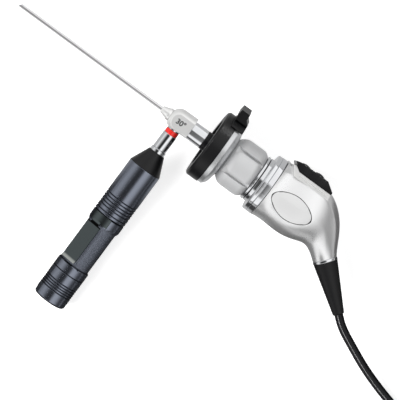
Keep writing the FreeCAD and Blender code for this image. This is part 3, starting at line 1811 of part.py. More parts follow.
def make_coil(centre, bottom, entry, leave):
    """One closed solid of the wound turns, with the two ends of the cable leading into it."""
    half = size.coil_width.value / 2
    inner = size.coil_radius.value - half
    high = size.coil_high.value
    ring = Part.makeCylinder(inner + 2 * half, high).cut(Part.makeCylinder(inner, high))
    ring = ring.makeFillet(size.coil_corner.value, [e for e in ring.Edges if e.Curve.TypeId == "Part::GeomCircle"])
    ring.translate(centre + Vector(0, 0, bottom))
    for inside, face in (entry, leave):
        way = inside - face
        ring = ring.fuse(Part.makeCylinder(size.cable_dia.value / 2, way.Length, face, way))
    feature = doc.addObject("Part::Feature", "cable_coil")
    feature.Label = "cable_coil"
    feature.Shape = ring
    pieces["cable_coil"] = feature


def make_tie(centre):
    """The strap that holds the turns together."""
    wall = size.tie_thick.value
    gap = 0.5
    reach = size.coil_width.value + 2 * gap
    high = size.coil_high.value + 0.1 + 0.2
    width = size.tie_width.value
    start = size.coil_radius.value - reach / 2
    outer = Part.makeBox(reach + 2 * wall, width, high + 2 * wall, Vector(start - wall, -width / 2, 0))
    inner = Part.makeBox(reach, width, high, Vector(start, -width / 2, wall))
    feature = doc.addObject("Part::Feature", "coil_tie")
    feature.Label = "coil_tie"
    feature.Shape = outer.cut(inner)
    feature.Placement = Placement(centre, Rotation(Vector(0, 0, 1), size.tie_turn.value))
    pieces["coil_tie"] = feature


def make_plug(frame):
    """The USB plug: moulded grip, steel shell and the tongue with its contacts."""
    neck = size.plug_neck_long
    grip_end = neck + size.plug_long
    half_wide = size.plug_wide / 2
    half_high = size.plug_high / 2
    shell_wide = size.plug_shell_wide / 2
    shell_high = size.plug_shell_high / 2
    wall = size.plug_shell_wall
    seat = grip_end - 8
    body = turned("plug_body", [(0, 0), (neck + 1, 0), (neck + 1, half_high - 0.4), (0, size.plug_neck_dia / 2)], frame)
    grip = new_sketch(body, "YZ_Plane", neck)
    draw(grip, rectangle(-half_wide, half_wide, -half_high, half_high))
    extrude(body, grip, size.plug_long)
    pocket = new_sketch(body, "YZ_Plane", grip_end)
    gap = size.fit_fixed
    draw(pocket, rectangle(-shell_wide - gap, shell_wide + gap, -shell_high - gap, shell_high + gap))
    extrude(body, pocket, grip_end - seat, cut=True)
    shell_end = grip_end + size.plug_shell_long
    shell = new_body("plug_shell", frame)
    sleeve = new_sketch(shell, "YZ_Plane", seat)
    draw(sleeve, rectangle(-shell_wide, shell_wide, -shell_high, shell_high))
    draw(sleeve, rectangle(wall - shell_wide, shell_wide - wall, wall - shell_high, shell_high - wall))
    extrude(shell, sleeve, shell_end - seat)
    low = wall - shell_high
    outline = rectangle(wall - shell_wide + gap, shell_wide - wall - gap, low + gap, low + size.plug_tongue_high)
    slab("plug_tongue", "YZ_Plane", outline, seat, shell_end - seat - 0.6, frame)


def make_inner_lead():
    """The lead from the strain relief to the main board."""
    radius = size.lead_dia.value / 2
    lean = math.radians(size.tail_lean.value)
    start = Vector(tail_place.value, -size.tail_drop.value, 0)
    back = Vector(-math.cos(lean), math.sin(lean), 0)
    corner = start + back * 9.0
    board_end = sensor_board_front.value + size.board_thick.value + size.main_board_long.value
    board_y = -1.6 - size.board_thick.value - radius - 0.1
    end = Vector(board_end - 5.0, board_y, 0)
    spine = rounded_path([start, corner, end])
    circle = Part.Wire(Part.makeCircle(radius, start, back))
    feature = doc.addObject("Part::Feature", "inner_lead")
    feature.Label = "inner_lead"
    feature.Shape = spine.makePipeShell([circle], True, False)
    feature.Placement = LAID
    pieces["inner_lead"] = feature


def build():
    make_insertion_tube()
    make_optics()
    make_nose_cone()
    make_scope_block()
    make_ocular_tube()
    make_eyepiece()
    make_light_post()
    make_post_fittings()
    make_torch_head()
    battery_back = make_torch_inside()
    make_torch_barrel()
    make_battery_tube()
    make_pocket_clip()
    make_tail(battery_back)
    make_clamp_ring()
    make_clamp_lever()
    make_jaws()
    make_clamp_sleeve()
    make_coupler_flange()
    make_core()
    make_focus_ring()
    make_focus_carrier()
    make_lens_mount()
    make_head_front()
    make_boards()
    make_housing()
    make_side_plate()
    make_keypad()
    make_buttons()
    make_switch_board()
    relief_end = make_tail_end()
    make_inner_lead()
    make_cable(relief_end)
    doc.recompute()


def check_and_write():
    """Stops on a failed object or a bad shape, then writes one file a piece."""
    failed = [item.Name for item in doc.Objects if {"Invalid", "Error"} & set(item.State)]
    for label, piece in pieces.items():
        shape = piece.Shape
        if shape.isNull() or not shape.isValid() or not shape.Solids:
            failed.append(label)
    if failed:
        raise RuntimeError(f"not built well: {failed}")
    os.makedirs("parts", exist_ok=True)
    for label, piece in pieces.items():
        piece.Shape.exportStep(f"parts/{label}.step")
    print(len(pieces), "pieces written")


build()
check_and_write()
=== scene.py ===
# %% [markdown]
# # A USB endoscope with its torch, seen from straight above
#
# The solid parts come from the CAD frame, and stay where they are. This lesson adds what a camera sees:
# softened edges, the inked angle, the real cable with its wound turns, the finishes and the light. It works
# in metres, in the frame's own axes: +X runs from the scope's tip to the cable, +Z is up from the table.

import json
import math

import bpy
from mathutils import Euler, Matrix, Vector


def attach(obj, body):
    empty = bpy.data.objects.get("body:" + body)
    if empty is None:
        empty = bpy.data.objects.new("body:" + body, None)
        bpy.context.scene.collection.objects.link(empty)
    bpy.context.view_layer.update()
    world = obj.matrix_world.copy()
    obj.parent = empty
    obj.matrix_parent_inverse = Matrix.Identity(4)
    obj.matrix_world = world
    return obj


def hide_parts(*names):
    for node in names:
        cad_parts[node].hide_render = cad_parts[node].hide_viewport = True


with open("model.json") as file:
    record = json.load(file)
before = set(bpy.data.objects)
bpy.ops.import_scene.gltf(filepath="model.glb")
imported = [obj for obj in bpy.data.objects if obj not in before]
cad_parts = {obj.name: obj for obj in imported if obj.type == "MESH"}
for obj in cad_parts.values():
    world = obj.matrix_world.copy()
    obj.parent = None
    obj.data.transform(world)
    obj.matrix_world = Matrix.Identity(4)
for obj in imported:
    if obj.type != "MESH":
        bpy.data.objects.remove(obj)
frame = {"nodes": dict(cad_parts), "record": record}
nodes = frame["nodes"]
record = frame["record"]
scene = bpy.context.scene
MM = 0.001


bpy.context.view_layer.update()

# %% [markdown]
# ## Directions and places
#
# The head lies tilted on the table, and the scope is swung about its own axis until the torch touches the
# table. These directions could be typed as angles, but the joints already know them: one turns about the
# scope's axis, and one presses along the torch's axis. So they are read from the record.

# %% Axes from the joints
joints = {joint["name"]: joint for joint in record["behaviour"]["joints"]}
along = Vector(joints["focus_turn"]["axis"]).normalized()
across = Vector((0, 1, 0))
above = along.cross(across)
torch_way = -Vector(joints["torch_button_press"]["axis"]).normalized()
scope_above = along.cross(-torch_way)
focus_middle = Vector(joints["focus_turn"]["pos_m"])
FOCUS_ALONG = 171.8
print("tilt", round(math.degrees(math.asin(-along.z)), 2))

# %% Places in millimetres
POST_ALONG = 123.8


def head_point(x, y=0.0, z=0.0):
    """A place in the row frame from millimetres along, across and above the head's axis."""
    return focus_middle + along * (x - FOCUS_ALONG) * MM + across * y * MM + above * z * MM


def turned_frame(origin, x_way, z_way):
    """The matrix of a frame with its X and Z axes along two directions."""
    y_way = z_way.cross(x_way)
    matrix = Matrix((x_way, y_way, z_way)).transposed().to_4x4()
    matrix.translation = origin
    return matrix


HEAD_FRAME = turned_frame(head_point(0), along, above)
SCOPE_FRAME = turned_frame(head_point(0), along, scope_above)
TORCH_FRAME = turned_frame(head_point(POST_ALONG), torch_way, scope_above)
print("torch axis starts at", [round(value, 4) for value in TORCH_FRAME.translation])

# %% [markdown]
# ## The camera
#
# The photograph looks straight down. Its centre lies beside the coupler, and the scope's axis runs down to
# the right at 36 degrees. One picture element covers 0.63 mm. A far camera with a long lens shows the sides
# as little as the photograph does, so the height is chosen and the lens follows from it.

# %% A camera straight above
PHOTO_SIDE = 400
MM_PER_ELEMENT = 0.63
PHOTO_CENTRE = head_point(163.3, -32.2)
PHOTO_TURN = 36.2
CAMERA_HEIGHT = 1.5
SENSOR = 36

scene.render.resolution_x = PHOTO_SIDE
scene.render.resolution_y = PHOTO_SIDE
camera_data = bpy.data.cameras.new("camera")
camera = bpy.data.objects.new("camera", camera_data)
scene.collection.objects.link(camera)
camera_data.sensor_width = SENSOR
half_view = PHOTO_SIDE / 2 * MM_PER_ELEMENT * MM
camera_data.lens = SENSOR / 2 * CAMERA_HEIGHT / half_view
camera_data.clip_start = 0.5
camera_data.clip_end = 20
camera.location = PHOTO_CENTRE + Vector((0, 0, CAMERA_HEIGHT))
camera.rotation_euler = Euler((0, 0, math.radians(PHOTO_TURN)))
scene.camera = camera
scene.view_settings.view_transform = "Standard"
print("lens", round(camera_data.lens, 1), "mm")

# %% [markdown]
# ## Shader sums in plain arithmetic
#
# A finish that changes over a surface is a sum of many nodes, and a list of nodes and links is hard to read.
# A `Wire` is a shader socket that can be added, multiplied and so on, and each sum adds its Math node. A
# `Finish` is one material: its `node` method makes any node from a type, its settings and its socket values.

# %% A socket for plain arithmetic
class Wire:
    """A value or colour in a shader, for use in plain arithmetic."""

    def __init__(self, finish, socket):
        self.finish = finish
        self.socket = socket

    def __add__(self, other):
        return self.finish.maths("ADD", self, other)

    def __radd__(self, other):
        return self.finish.maths("ADD", other, self)

    def __sub__(self, other):
        return self.finish.maths("SUBTRACT", self, other)

    def __rsub__(self, other):
        return self.finish.maths("SUBTRACT", other, self)

    def __mul__(self, other):
        return self.finish.maths("MULTIPLY", self, other)

    def __rmul__(self, other):
        return self.finish.maths("MULTIPLY", other, self)

    def __truediv__(self, other):
        return self.finish.maths("DIVIDE", self, other)

    def __rtruediv__(self, other):
        return self.finish.maths("DIVIDE", other, self)

    def step(self, low, high):
        """0 below low and 1 above high, with a smooth change between."""
        settings = {"interpolation_type": "SMOOTHSTEP"}
        values = {"Value": self, "From Min": low, "From Max": high}
        return self.finish.node("ShaderNodeMapRange", settings, values)["Result"]

    def between(self, low, high, soft):
        """1 between low and high, with soft edges."""
        return self.step(low - soft, low + soft) * (1.0 - self.step(high - soft, high + soft))

    def mix(self, first, second):
        """A colour between two, by this amount."""
        values = {0: self, 6: first, 7: second}
        return self.finish.node("ShaderNodeMix", {"data_type": "RGBA"}, values)[2]


class Outputs:
    """A node's outputs by name or number."""

    def __init__(self, finish, made):
        self.finish = finish
        self.made = made

    def __getitem__(self, key):
        return Wire(self.finish, self.made.outputs[key])


# %% A finish and its nodes
class Finish:
    """One material, or the sky, with its nodes made by one method."""

    def __init__(self, name, library=None):
        self.material = (bpy.data.materials if library is None else library).new(name)
        self.material.use_nodes = True
        self.tree = self.material.node_tree
        self.tree.nodes.clear()

    def node(self, kind, settings=None, values=None):
        """Any node. A value is a number, a colour or a wire."""
        made = self.tree.nodes.new(kind)
        for key, value in (settings or {}).items():
            setattr(made, key, value)
        for key, value in (values or {}).items():
            socket = made.inputs[key]
            if isinstance(value, Wire):
                self.tree.links.new(value.socket, socket)
            elif isinstance(value, (tuple, list)) and socket.type == "RGBA":
                socket.default_value = (*value[:3], 1.0)
            else:
                socket.default_value = value
        return Outputs(self, made)

    def maths(self, operation, *values):
        """One sum on values or wires."""
        return self.node("ShaderNodeMath", {"operation": operation}, dict(enumerate(values)))["Value"]

    def place(self, matrix):
        """Coordinates in millimetres in a frame given by its matrix: along X, Y and Z."""
        coordinates = self.node("ShaderNodeTexCoord")["Object"]
        values = {"Vector": coordinates, "Location": matrix.translation, "Rotation": matrix.to_euler()}
        local = self.node("ShaderNodeMapping", {"vector_type": "TEXTURE"}, values)["Vector"]
        parts = self.node("ShaderNodeSeparateXYZ", None, {"Vector": local})
        return [parts[name] * 1000.0 for name in "XYZ"]

    def rings(self, x, pitch):
        """A wave along x, as a lathe's tool leaves it."""
        return self.maths("SINE", x * (2 * math.pi / pitch))

    def noise(self, scale, detail):
        """A soft noise from 0 to 1. The scale is in waves to a metre."""
        coordinates = self.node("ShaderNodeTexCoord")["Object"]
        values = {"Vector": coordinates, "Scale": scale, "Detail": detail}
        return self.node("ShaderNodeTexNoise", None, values)["Fac"]

    def bump(self, height, distance):
        """A normal from a height, with the distance in millimetres that a height of 1 stands for."""
        values = {"Height": height, "Distance": distance * MM}
        return self.node("ShaderNodeBump", None, values)["Normal"]

    def shade(self, **values):
        """The surface itself. Names are the shader's, with spaces as underlines."""
        named = {name.replace("_", " "): value for name, value in values.items()}
        shader = self.node("ShaderNodeBsdfPrincipled", None, named)["BSDF"]
        self.node("ShaderNodeOutputMaterial", None, {"Surface": shader})
        return self.material


finishes = {}

# %% [markdown]
# ## Metals
#
# The scope is satin steel, the posts and rings are chrome, and the flange and the tube are turned. A picture
# of brushed metal could do this, but it would show its edges. A fine noise that changes the roughness, and
# fine rings as a bump where a lathe has been, look the same from near and far.

# %% Plain and turned metal
def metal(name, colour, roughness, grain=0.05, grain_scale=900.0, metallic=1.0, coat=0.0):
    """A plain metal with a slightly uneven polish."""
    finish = Finish(name)
    uneven = finish.noise(grain_scale, 4.0)
    broad = finish.noise(60.0, 2.0)
    rough = roughness + (uneven - 0.5) * grain + (broad - 0.5) * grain
    normal = finish.bump(uneven, 0.0015)
    finishes[name] = finish.shade(
        Base_Color=colour, Metallic=metallic, Roughness=rough, Coat_Weight=coat, Normal=normal
    )


def turned_metal(name, colour, roughness, matrix, pitch, depth, metallic=1.0):
    """A metal with the fine rings that a lathe leaves, about the X axis of a frame."""
    finish = Finish(name)
    x, _, _ = finish.place(matrix)
    uneven = finish.noise(700.0, 4.0)
    rough = roughness + (uneven - 0.5) * 0.08
    normal = finish.bump(finish.rings(x, pitch) * 0.5 + uneven * 0.5, depth)
    finishes[name] = finish.shade(Base_Color=colour, Metallic=metallic, Roughness=rough, Normal=normal)


metal("satin_steel", (0.92, 0.92, 0.91), 0.32, grain=0.06, grain_scale=500.0, metallic=0.68)
metal("chrome", (0.78, 0.79, 0.81), 0.10, grain=0.03)
metal("dull_steel", (0.45, 0.45, 0.46), 0.35, grain=0.10)
metal("frosted_silver", (0.62, 0.624, 0.63), 0.46, grain=0.08, grain_scale=1800.0, metallic=0.35)
metal("plate", (0.74, 0.74, 0.74), 0.40, grain_scale=1800.0, metallic=0.25)
metal("red_enamel", (0.72, 0.018, 0.012), 0.26, metallic=0.0, coat=0.4)
turned_metal("tube_steel", (0.86, 0.86, 0.87), 0.14, SCOPE_FRAME, pitch=0.18, depth=0.002)
turned_metal("flange_silver", (0.70, 0.71, 0.72), 0.30, HEAD_FRAME, pitch=0.22, depth=0.006, metallic=0.85)
print("metals", len(finishes))

# %% [markdown]
# ## Black parts, rubber and boards
#
# The clamp and the torch's cone are black anodised, the grips and the relief are rubber. All are nearly
# black, and only their shine tells them apart. So they share one function, with its own shine and grain for
# each. The keypad's rubber and the cable are smoother and shine less than the rest.

# %% Soft materials
def soft_material(name, colour, roughness, grain_scale=1500.0, depth=0.01, shine=0.25):
    """Rubber and plastic, with a fine moulded grain."""
    finish = Finish(name)
    normal = finish.bump(finish.noise(grain_scale, 3.0), depth)
    rough = roughness + (finish.noise(120.0, 2.0) - 0.5) * 0.12
    finishes[name] = finish.shade(
        Base_Color=colour, Roughness=rough, Specular_IOR_Level=shine, Normal=normal
    )


soft_material("black_anodised", (0.004, 0.004, 0.0045), 0.34, depth=0.004, shine=0.30)
soft_material("black_plastic", (0.005, 0.005, 0.006), 0.36, depth=0.008, shine=0.30)
soft_material("black_rubber", (0.006, 0.006, 0.0065), 0.46, grain_scale=2200.0, depth=0.012, shine=0.30)
soft_material("pad_rubber", (0.003, 0.003, 0.0035), 0.15, grain_scale=1200.0, depth=0.0005, shine=0.10)
soft_material("board", (0.02, 0.12, 0.045), 0.30)
soft_material("battery_wrap", (0.02, 0.08, 0.30), 0.25)
soft_material("ink", (0.012, 0.012, 0.014), 0.55)
print("finishes", len(finishes))

# %% The cable's sheath and the glass
def sheath():
    """Extruded sheath: dark, with a faint satin grain."""
    finish = Finish("cable_sheath")
    grain = finish.noise(700.0, 3.0)
    return finish.shade(
        Base_Color=(0.003, 0.003, 0.0035),
        Roughness=0.20 + (grain - 0.5) * 0.06,
        Specular_IOR_Level=0.14,
        Normal=finish.bump(grain, 0.0008),
    )


def lens_glass():
    """Clear glass with a thin uneven film."""
    finish = Finish("lens_glass")
    film = finish.noise(90.0, 2.0)
    return finish.shade(
        Base_Color=(0.92, 0.96, 0.97), Roughness=0.02 + film * 0.02, Transmission_Weight=1.0, IOR=1.52
    )


finishes["cable"] = sheath()
finishes["glass"] = lens_glass()
print("finishes", len(finishes))

# %% [markdown]
# ## The torch
#
# The torch is an aluminium tube with blue-grey anodising. Its grip is finely knurled, its two threaded joints
# are dark lines, and the raised parts are worn a little lighter. Its grooves are darkened by painted shade.
# The grooves are in the CAD solid. The knurling would need thousands of faces, so it is a bump, made by two
# crossed spiral waves.

# %% The knurled and grooved anodising
TORCH_BLUE = (0.215, 0.235, 0.285)
WORN_BLUE = (0.30, 0.33, 0.38)
# painted shade in the grooves, and the colour of the two dark joint lines
SHADE_AND_JOINT_BLACK = (0.012, 0.014, 0.02)
TORCH_RADIUS = 11.2
GROOVE_DEPTHS = (0.34, 0.16)
BARREL_END = 75.0
TAIL_JOINT = 119.0
THIN_PART = (81.0, 112.2)
GRIP = (82.0, 112.4)
KNURL_PITCH = 1.3
KNURL_STARTS = 44.0
TURNING_PITCH = 0.3


def groove_shade_and_joints(finish, x, y, z):
    """Painted shade: 1 in the grooves, which lie below the tube's full radius. Also 1 along the two dark
    joints.
    """
    radius = finish.maths("SQRT", y * y + z * z)
    full = radius.step(*(TORCH_RADIUS - depth for depth in GROOVE_DEPTHS))
    # painted shade on the groove floors, which lie below the full radius
    painted_groove_shade = (1.0 - full) * (1.0 - x.between(*THIN_PART, 0.1))
    barrel_line = x.between(BARREL_END - 0.45, BARREL_END + 0.5, 0.1)
    tail_line = x.between(TAIL_JOINT - 0.4, TAIL_JOINT + 0.4, 0.1)
    return finish.maths("MAXIMUM", painted_groove_shade, finish.maths("MAXIMUM", barrel_line, tail_line))


def torch_finish():
    """Blue-grey anodising with a knurled grip, painted shade in the grooves and dark joint lines."""
    finish = Finish("torch_anodised")
    x, y, z = finish.place(TORCH_FRAME)
    slant = x * (2 * math.pi / KNURL_PITCH)
    turn = finish.maths("ARCTAN2", z, y) * KNURL_STARTS
    diamond = finish.maths("SINE", slant + turn) * finish.maths("SINE", slant - turn)
    on_grip = x.between(*GRIP, 0.15)
    turned = finish.rings(x, TURNING_PITCH) * (1.0 - on_grip)
    uneven = finish.noise(1200.0, 4.0)
    height = finish.maths("ABSOLUTE", diamond) * on_grip + turned * 0.02 + uneven * 0.03
    worn = finish.noise(260.0, 5.0).step(0.60, 0.78) * 0.12
    dark = groove_shade_and_joints(finish, x, y, z)
    # the grooves get painted shade, and the joints their dark line
    colour = (dark * 0.85).mix(worn.mix(TORCH_BLUE, WORN_BLUE), SHADE_AND_JOINT_BLACK)
    rough = 0.19 + (finish.noise(80.0, 2.0) - 0.5) * 0.06 + on_grip * 0.05 + dark * 0.2
    return finish.shade(Base_Color=colour, Metallic=0.95, Roughness=rough, Normal=finish.bump(height, 0.12))


finishes["torch"] = torch_finish()
print("torch nodes", len(finishes["torch"].node_tree.nodes))

# %% The pocket clip
CLIP_STEEL = (0.10, 0.118, 0.121)
# a painted highlight on the bent lip of the arm
CLIP_LIP_HIGHLIGHT = (0.42, 0.44, 0.42)
# where a painted shadow falls at the root of the arm
CLIP_ROOT_SHADOW = (81.4, 83.4)
CLIP_LIP = (108.2, 109.6)


def clip_finish():
    """Dark plated spring steel, with a painted shadow at its root and a painted highlight on the lip of the
    arm.
    """
    finish = Finish("clip_steel")
    x, _, _ = finish.place(TORCH_FRAME)
    uneven = finish.noise(500.0, 4.0)
    # a painted highlight on the lip
    colour = x.step(*CLIP_LIP).mix(CLIP_STEEL, CLIP_LIP_HIGHLIGHT)
    # a painted shadow at the root
    colour = x.between(*CLIP_ROOT_SHADOW, 0.3).mix(colour, (0.004, 0.004, 0.004))
    rough = 0.34 + (uneven - 0.5) * 0.10
    return finish.shade(Base_Color=colour, Metallic=1.0, Roughness=rough, Normal=finish.bump(uneven, 0.0015))


finishes["clip_steel"] = clip_finish()
print("clip nodes", len(finishes["clip_steel"].node_tree.nodes))

# %% [markdown]
# ## The camera head's housing
#
# The housing is cast metal, blasted with beads and lacquered silver, and an oval plate is let into its side.
# From above, the gap round the plate is thinner than a picture element. The seam is therefore also a dark
# line in the finish, drawn by the formula of a rounded oval in the head's own frame.

# %% Blasted silver with the plate's seam
PLATE_MIDDLE = (211.3, -2.7)
PLATE_REACH = (14.2, 8.0)
PLATE_POWER = 1.75
HOUSING_SILVER = (0.88, 0.882, 0.885)


def plate_seam(finish, x, y, z):
    """1 on the oval line round the plate, on the upper side only."""
    ahead = finish.maths("ABSOLUTE", (x - PLATE_MIDDLE[0]) / PLATE_REACH[0])
    aside = finish.maths("ABSOLUTE", (y - PLATE_MIDDLE[1]) / PLATE_REACH[1])
    reach = finish.maths("POWER", ahead, PLATE_POWER) + finish.maths("POWER", aside, PLATE_POWER)
    return reach.between(0.97, 1.10, 0.01) * z.step(5.0, 6.0)


def housing_finish():
    """Bead-blasted and lacquered silver."""
    finish = Finish("housing_silver")
    seam = plate_seam(finish, *finish.place(HEAD_FRAME))
    blast = finish.noise(2600.0, 3.0)
    broad = finish.noise(45.0, 2.0)
    return finish.shade(
        Base_Color=seam.mix(HOUSING_SILVER, (0.03, 0.03, 0.03)),
        Metallic=0.84,
        Roughness=0.29 + (blast - 0.5) * 0.08 + (broad - 0.5) * 0.05 + seam * 0.3,
        Coat_Weight=0.05,
        Normal=finish.bump(blast, 0.003),
    )


finishes["housing"] = housing_finish()
print("finishes", len(finishes))

# %% [markdown]
# ## Which piece has which finish
#
# Nothing made has a knife edge, and the small light line along each edge is what makes a part look real.
# Filleting every edge in CAD would be slow and would break the small ones. So each piece that shows gets a
# bevel here, with its width in millimetres, and pieces that nobody sees only take a finish.

# %% Finish and bevel of each piece that shows
LOOKS = {
    "insertion_tube": ("tube_steel", 0.08),
    "nose_cone": ("satin_steel", 0.25),
    "scope_block": ("satin_steel", 0.45),
    "ocular_tube": ("chrome", 0.2),
    "eyepiece_cup": ("black_plastic", 0.4),
    "light_post": ("chrome", 0.2),
    "angle_ring": ("red_enamel", 0.3),
    "post_adaptor": ("chrome", 0.35),
    "torch_collar": ("chrome", 0.35),
    "torch_cone": ("black_anodised", 0.4),
    "torch_barrel": ("torch", 0.15),
    "battery_tube": ("torch", 0.3),
    "pocket_clip": ("clip_steel", 0.2),
    "tail_cap": ("torch", 0.15),
    "tail_button": ("black_rubber", 0.4),
    "clamp_ring": ("black_anodised", 0.35),
    "clamp_lever": ("black_anodised", 0.7),
    "clamp_sleeve": ("black_anodised", 0.2),
    "clamp_screws": ("dull_steel", 0.1),
    "jaw_1": ("dull_steel", 0.1),
    "jaw_2": ("dull_steel", 0.1),
    "jaw_3": ("dull_steel", 0.1),
    "coupler_flange": ("flange_silver", 0.4),
    "coupler_core": ("flange_silver", 0.1),
    "focus_ring": ("frosted_silver", 0.9),
    "lens_mount": ("chrome", 0.25),
    "mount_washer": ("black_rubber", 0.1),
    "head_front": ("chrome", 0.4),
    "chrome_band": ("chrome", 0.4),
    "head_housing": ("housing", 0.2),
    "side_plate": ("plate", 0.3),
    "keypad_bezel": ("satin_steel", 0.5),
    "keypad_pad": ("pad_rubber", 0.8),
    "button_front": ("pad_rubber", 0.5),
    "button_rear": ("pad_rubber", 0.5),
    "tail_ring": ("chrome", 0.2),
    "strain_relief": ("black_rubber", 0.4),
    "plug_body": ("black_plastic", 1.2),
    "plug_shell": ("chrome", 0.12),
    "plug_tongue": ("black_plastic", 0.1),
    "coil_tie": ("black_rubber", 0.3),
}
print("bevelled pieces", len(LOOKS))

# %% Finish of each piece inside
INSIDE = {
    "glass": (
        "rod_lens_train",
        "light_fibres",
        "eyepiece_glass",
        "condenser_lens",
        "focus_lens",
        "filter_glass",
    ),
    "board": ("led_module", "sensor_board", "main_board", "switch_board"),
    "battery_wrap": ("battery_cell",),
    "dull_steel": ("contact_spring", "guide_pins"),
    "black_plastic": ("tail_switch",),
    "black_anodised": ("focus_carrier",),
    "cable": ("inner_lead",),
}


def paint(thing, finish_name):
    """One finish over the whole thing."""
    thing.data.materials.clear()
    thing.data.materials.append(finishes[finish_name])


for finish_name, names in INSIDE.items():
    for node in names:
        paint(nodes[node], finish_name)
print("pieces inside", sum(len(names) for names in INSIDE.values()))

# %% [markdown]
# ## Softened edges
#
# The CAD pieces stay as they are. Each one is copied, its copy's sharp edges get a bevel of three steps, and
# the copy stands in for the piece and rides on the same body. Curved walls are smooth, and only corners
# sharper than 40 degrees stay as corners.

# %% A bevelled copy of each piece
SMOOTH_BELOW = math.radians(40)
BEVEL_ABOVE = math.radians(32)
body_of = {name: body for body, names in record["behaviour"]["bodies"].items() for name in names}


def smooth_walls(thing):
    """Smooth faces, with the sharp corners kept."""
    mesh = thing.data
    if mesh.has_custom_normals:
        bpy.context.view_layer.objects.active = thing
        with bpy.context.temp_override(object=thing, active_object=thing, selected_objects=[thing]):
            bpy.ops.mesh.customdata_custom_splitnormals_clear()
    mesh.shade_smooth()
    mesh.set_sharp_from_angle(angle=SMOOTH_BELOW)


def soften(node, finish_name, width):
    """A copy of a CAD piece with bevelled edges, standing in for it."""
    copy = nodes[node].copy()
    copy.data = nodes[node].data.copy()
    copy.name = f"{node}_shown"
    copy.parent = None
    scene.collection.objects.link(copy)
    paint(copy, finish_name)
    weld = copy.modifiers.new("weld", "WELD")
    weld.merge_threshold = 0.001 * MM
    bevel = copy.modifiers.new("bevel", "BEVEL")
    bevel.width = width * MM
    bevel.segments = 3
    bevel.limit_method = "ANGLE"
    bevel.angle_limit = BEVEL_ABOVE
    smooth_walls(copy)
    normals = copy.modifiers.new("normals", "WEIGHTED_NORMAL")
    normals.keep_sharp = True
    normals.weight = 60
    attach(copy, body_of[node])
    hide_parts(node)
    return copy


shown = {node: soften(node, *look) for node, look in LOOKS.items()}
print("softened", len(shown), "of", len(nodes))

# %% [markdown]
# ## The cable
#
# It leaves the strain relief, falls to the table in an easy curve and runs to a wound coil outside the
# picture, where a tie holds it. Its other end lies beside the coil with the plug. A chain of tubes could
# follow that path, but it would show its joints. One spline has the route's points as its control points,
# so the cable can only bend gently.

# %% From the relief to the coil
CABLE_DIAMETER = 5.6 * MM
TAIL_PLACE = (249.2, -15.8)
TAIL_LEAN = math.radians(39.5)
RELIEF_REACH = 36.3
COIL_LOW = 3.7
FREE_POINTS = [(19.36, -11.51, 13.8), (33.36, -17.71, 9.8), (48.86, -22.81, 5.8), (64.36, -26.71, COIL_LOW)]
ENTRY_TURN = math.radians(78.5)
ENTRY_STEPS = (12, 24, 34)

tail_way = (along * math.cos(TAIL_LEAN) - across * math.sin(TAIL_LEAN)).normalized()
relief_end = head_point(*TAIL_PLACE) + tail_way * RELIEF_REACH * MM
below_relief = Vector((relief_end.x, relief_end.y, 0))
free_points = [below_relief + Vector(point) * MM for point in FREE_POINTS]
entry_way = Vector((math.sin(ENTRY_TURN), -math.cos(ENTRY_TURN), 0))
face, inside, entry = (free_points[-1] + entry_way * step * MM for step in ENTRY_STEPS)

route = [
    relief_end - tail_way * 1.0 * MM,
    relief_end,
    relief_end + tail_way * 9.0 * MM,
    *free_points,
    face,
    inside,
]
print("free points", len(route))

# %% The wound turns
# Each turn lies in one cell of the bundle: its place across the bundle, and its layer.
CELLS = [(2, 0), (1, 0), (0, 0), (0, 1), (0, 2), (1, 2), (2, 2), (2, 1)]
COIL_RADIUS = 33.0
TURN_STEP = 5.7
RADII = [COIL_RADIUS - TURN_STEP, COIL_RADIUS, COIL_RADIUS + TURN_STEP]
POINTS_PER_TURN = 18
CROSSING = 0.10


def cell_place(turns):
    """The radius and the height of the winding after a number of turns."""
    first = min(int(turns), len(CELLS) - 1)
    second = min(first + 1, len(CELLS) - 1)
    part = min(max((turns - first - (1 - CROSSING)) / CROSSING, 0.0), 1.0)
    blend = part * part * (3 - 2 * part)
    radius = RADII[CELLS[first][0]] * (1 - blend) + RADII[CELLS[second][0]] * blend
    layer = CELLS[first][1] * (1 - blend) + CELLS[second][1] * blend
    return radius, COIL_LOW + layer * TURN_STEP


# The winding runs clockwise as seen from above, and leaves the coil at its -Y side, heading -X.
outward = Vector((math.cos(ENTRY_TURN), math.sin(ENTRY_TURN), 0))
coil_middle = entry - outward * RADII[-1] * MM
coil_middle.z = 0
end_turn = -math.pi / 2 - 2 * math.pi * (len(CELLS) - 1)
steps = round((ENTRY_TURN - end_turn) / (2 * math.pi) * POINTS_PER_TURN)
bulge = 1 / math.cos(math.pi / POINTS_PER_TURN)
for number in range(1, steps):
    turn = ENTRY_TURN + (end_turn - ENTRY_TURN) * number / steps
    radius, height = cell_place((ENTRY_TURN - turn) / (2 * math.pi))
    spot = Vector((math.cos(turn) * radius * bulge, math.sin(turn) * radius * bulge, height))
    route.append(coil_middle + spot * MM)
print("with the coil", len(route))

# %% The short end with the plug
PLUG_HEIGHT = 4.2
COIL_STUB = 22
STRAIGHT_END = 14

_, leave_height = cell_place((ENTRY_TURN - end_turn) / (2 * math.pi))
leave = coil_middle + Vector((0, -RADII[-1], leave_height)) * MM
leave_face = leave - Vector((COIL_STUB, 0, 0)) * MM
tail_end = leave_face + Vector((-50, 3, PLUG_HEIGHT - leave_height)) * MM
route += [
    leave - Vector((4, 0, 0)) * MM,
    leave_face,
    leave_face - Vector((STRAIGHT_END, 0, 0)) * MM,
    tail_end + Vector((STRAIGHT_END, 0, 0)) * MM,
    tail_end,
    tail_end - Vector((1, 0, 0)) * MM,
]
print("route", len(route), "points")

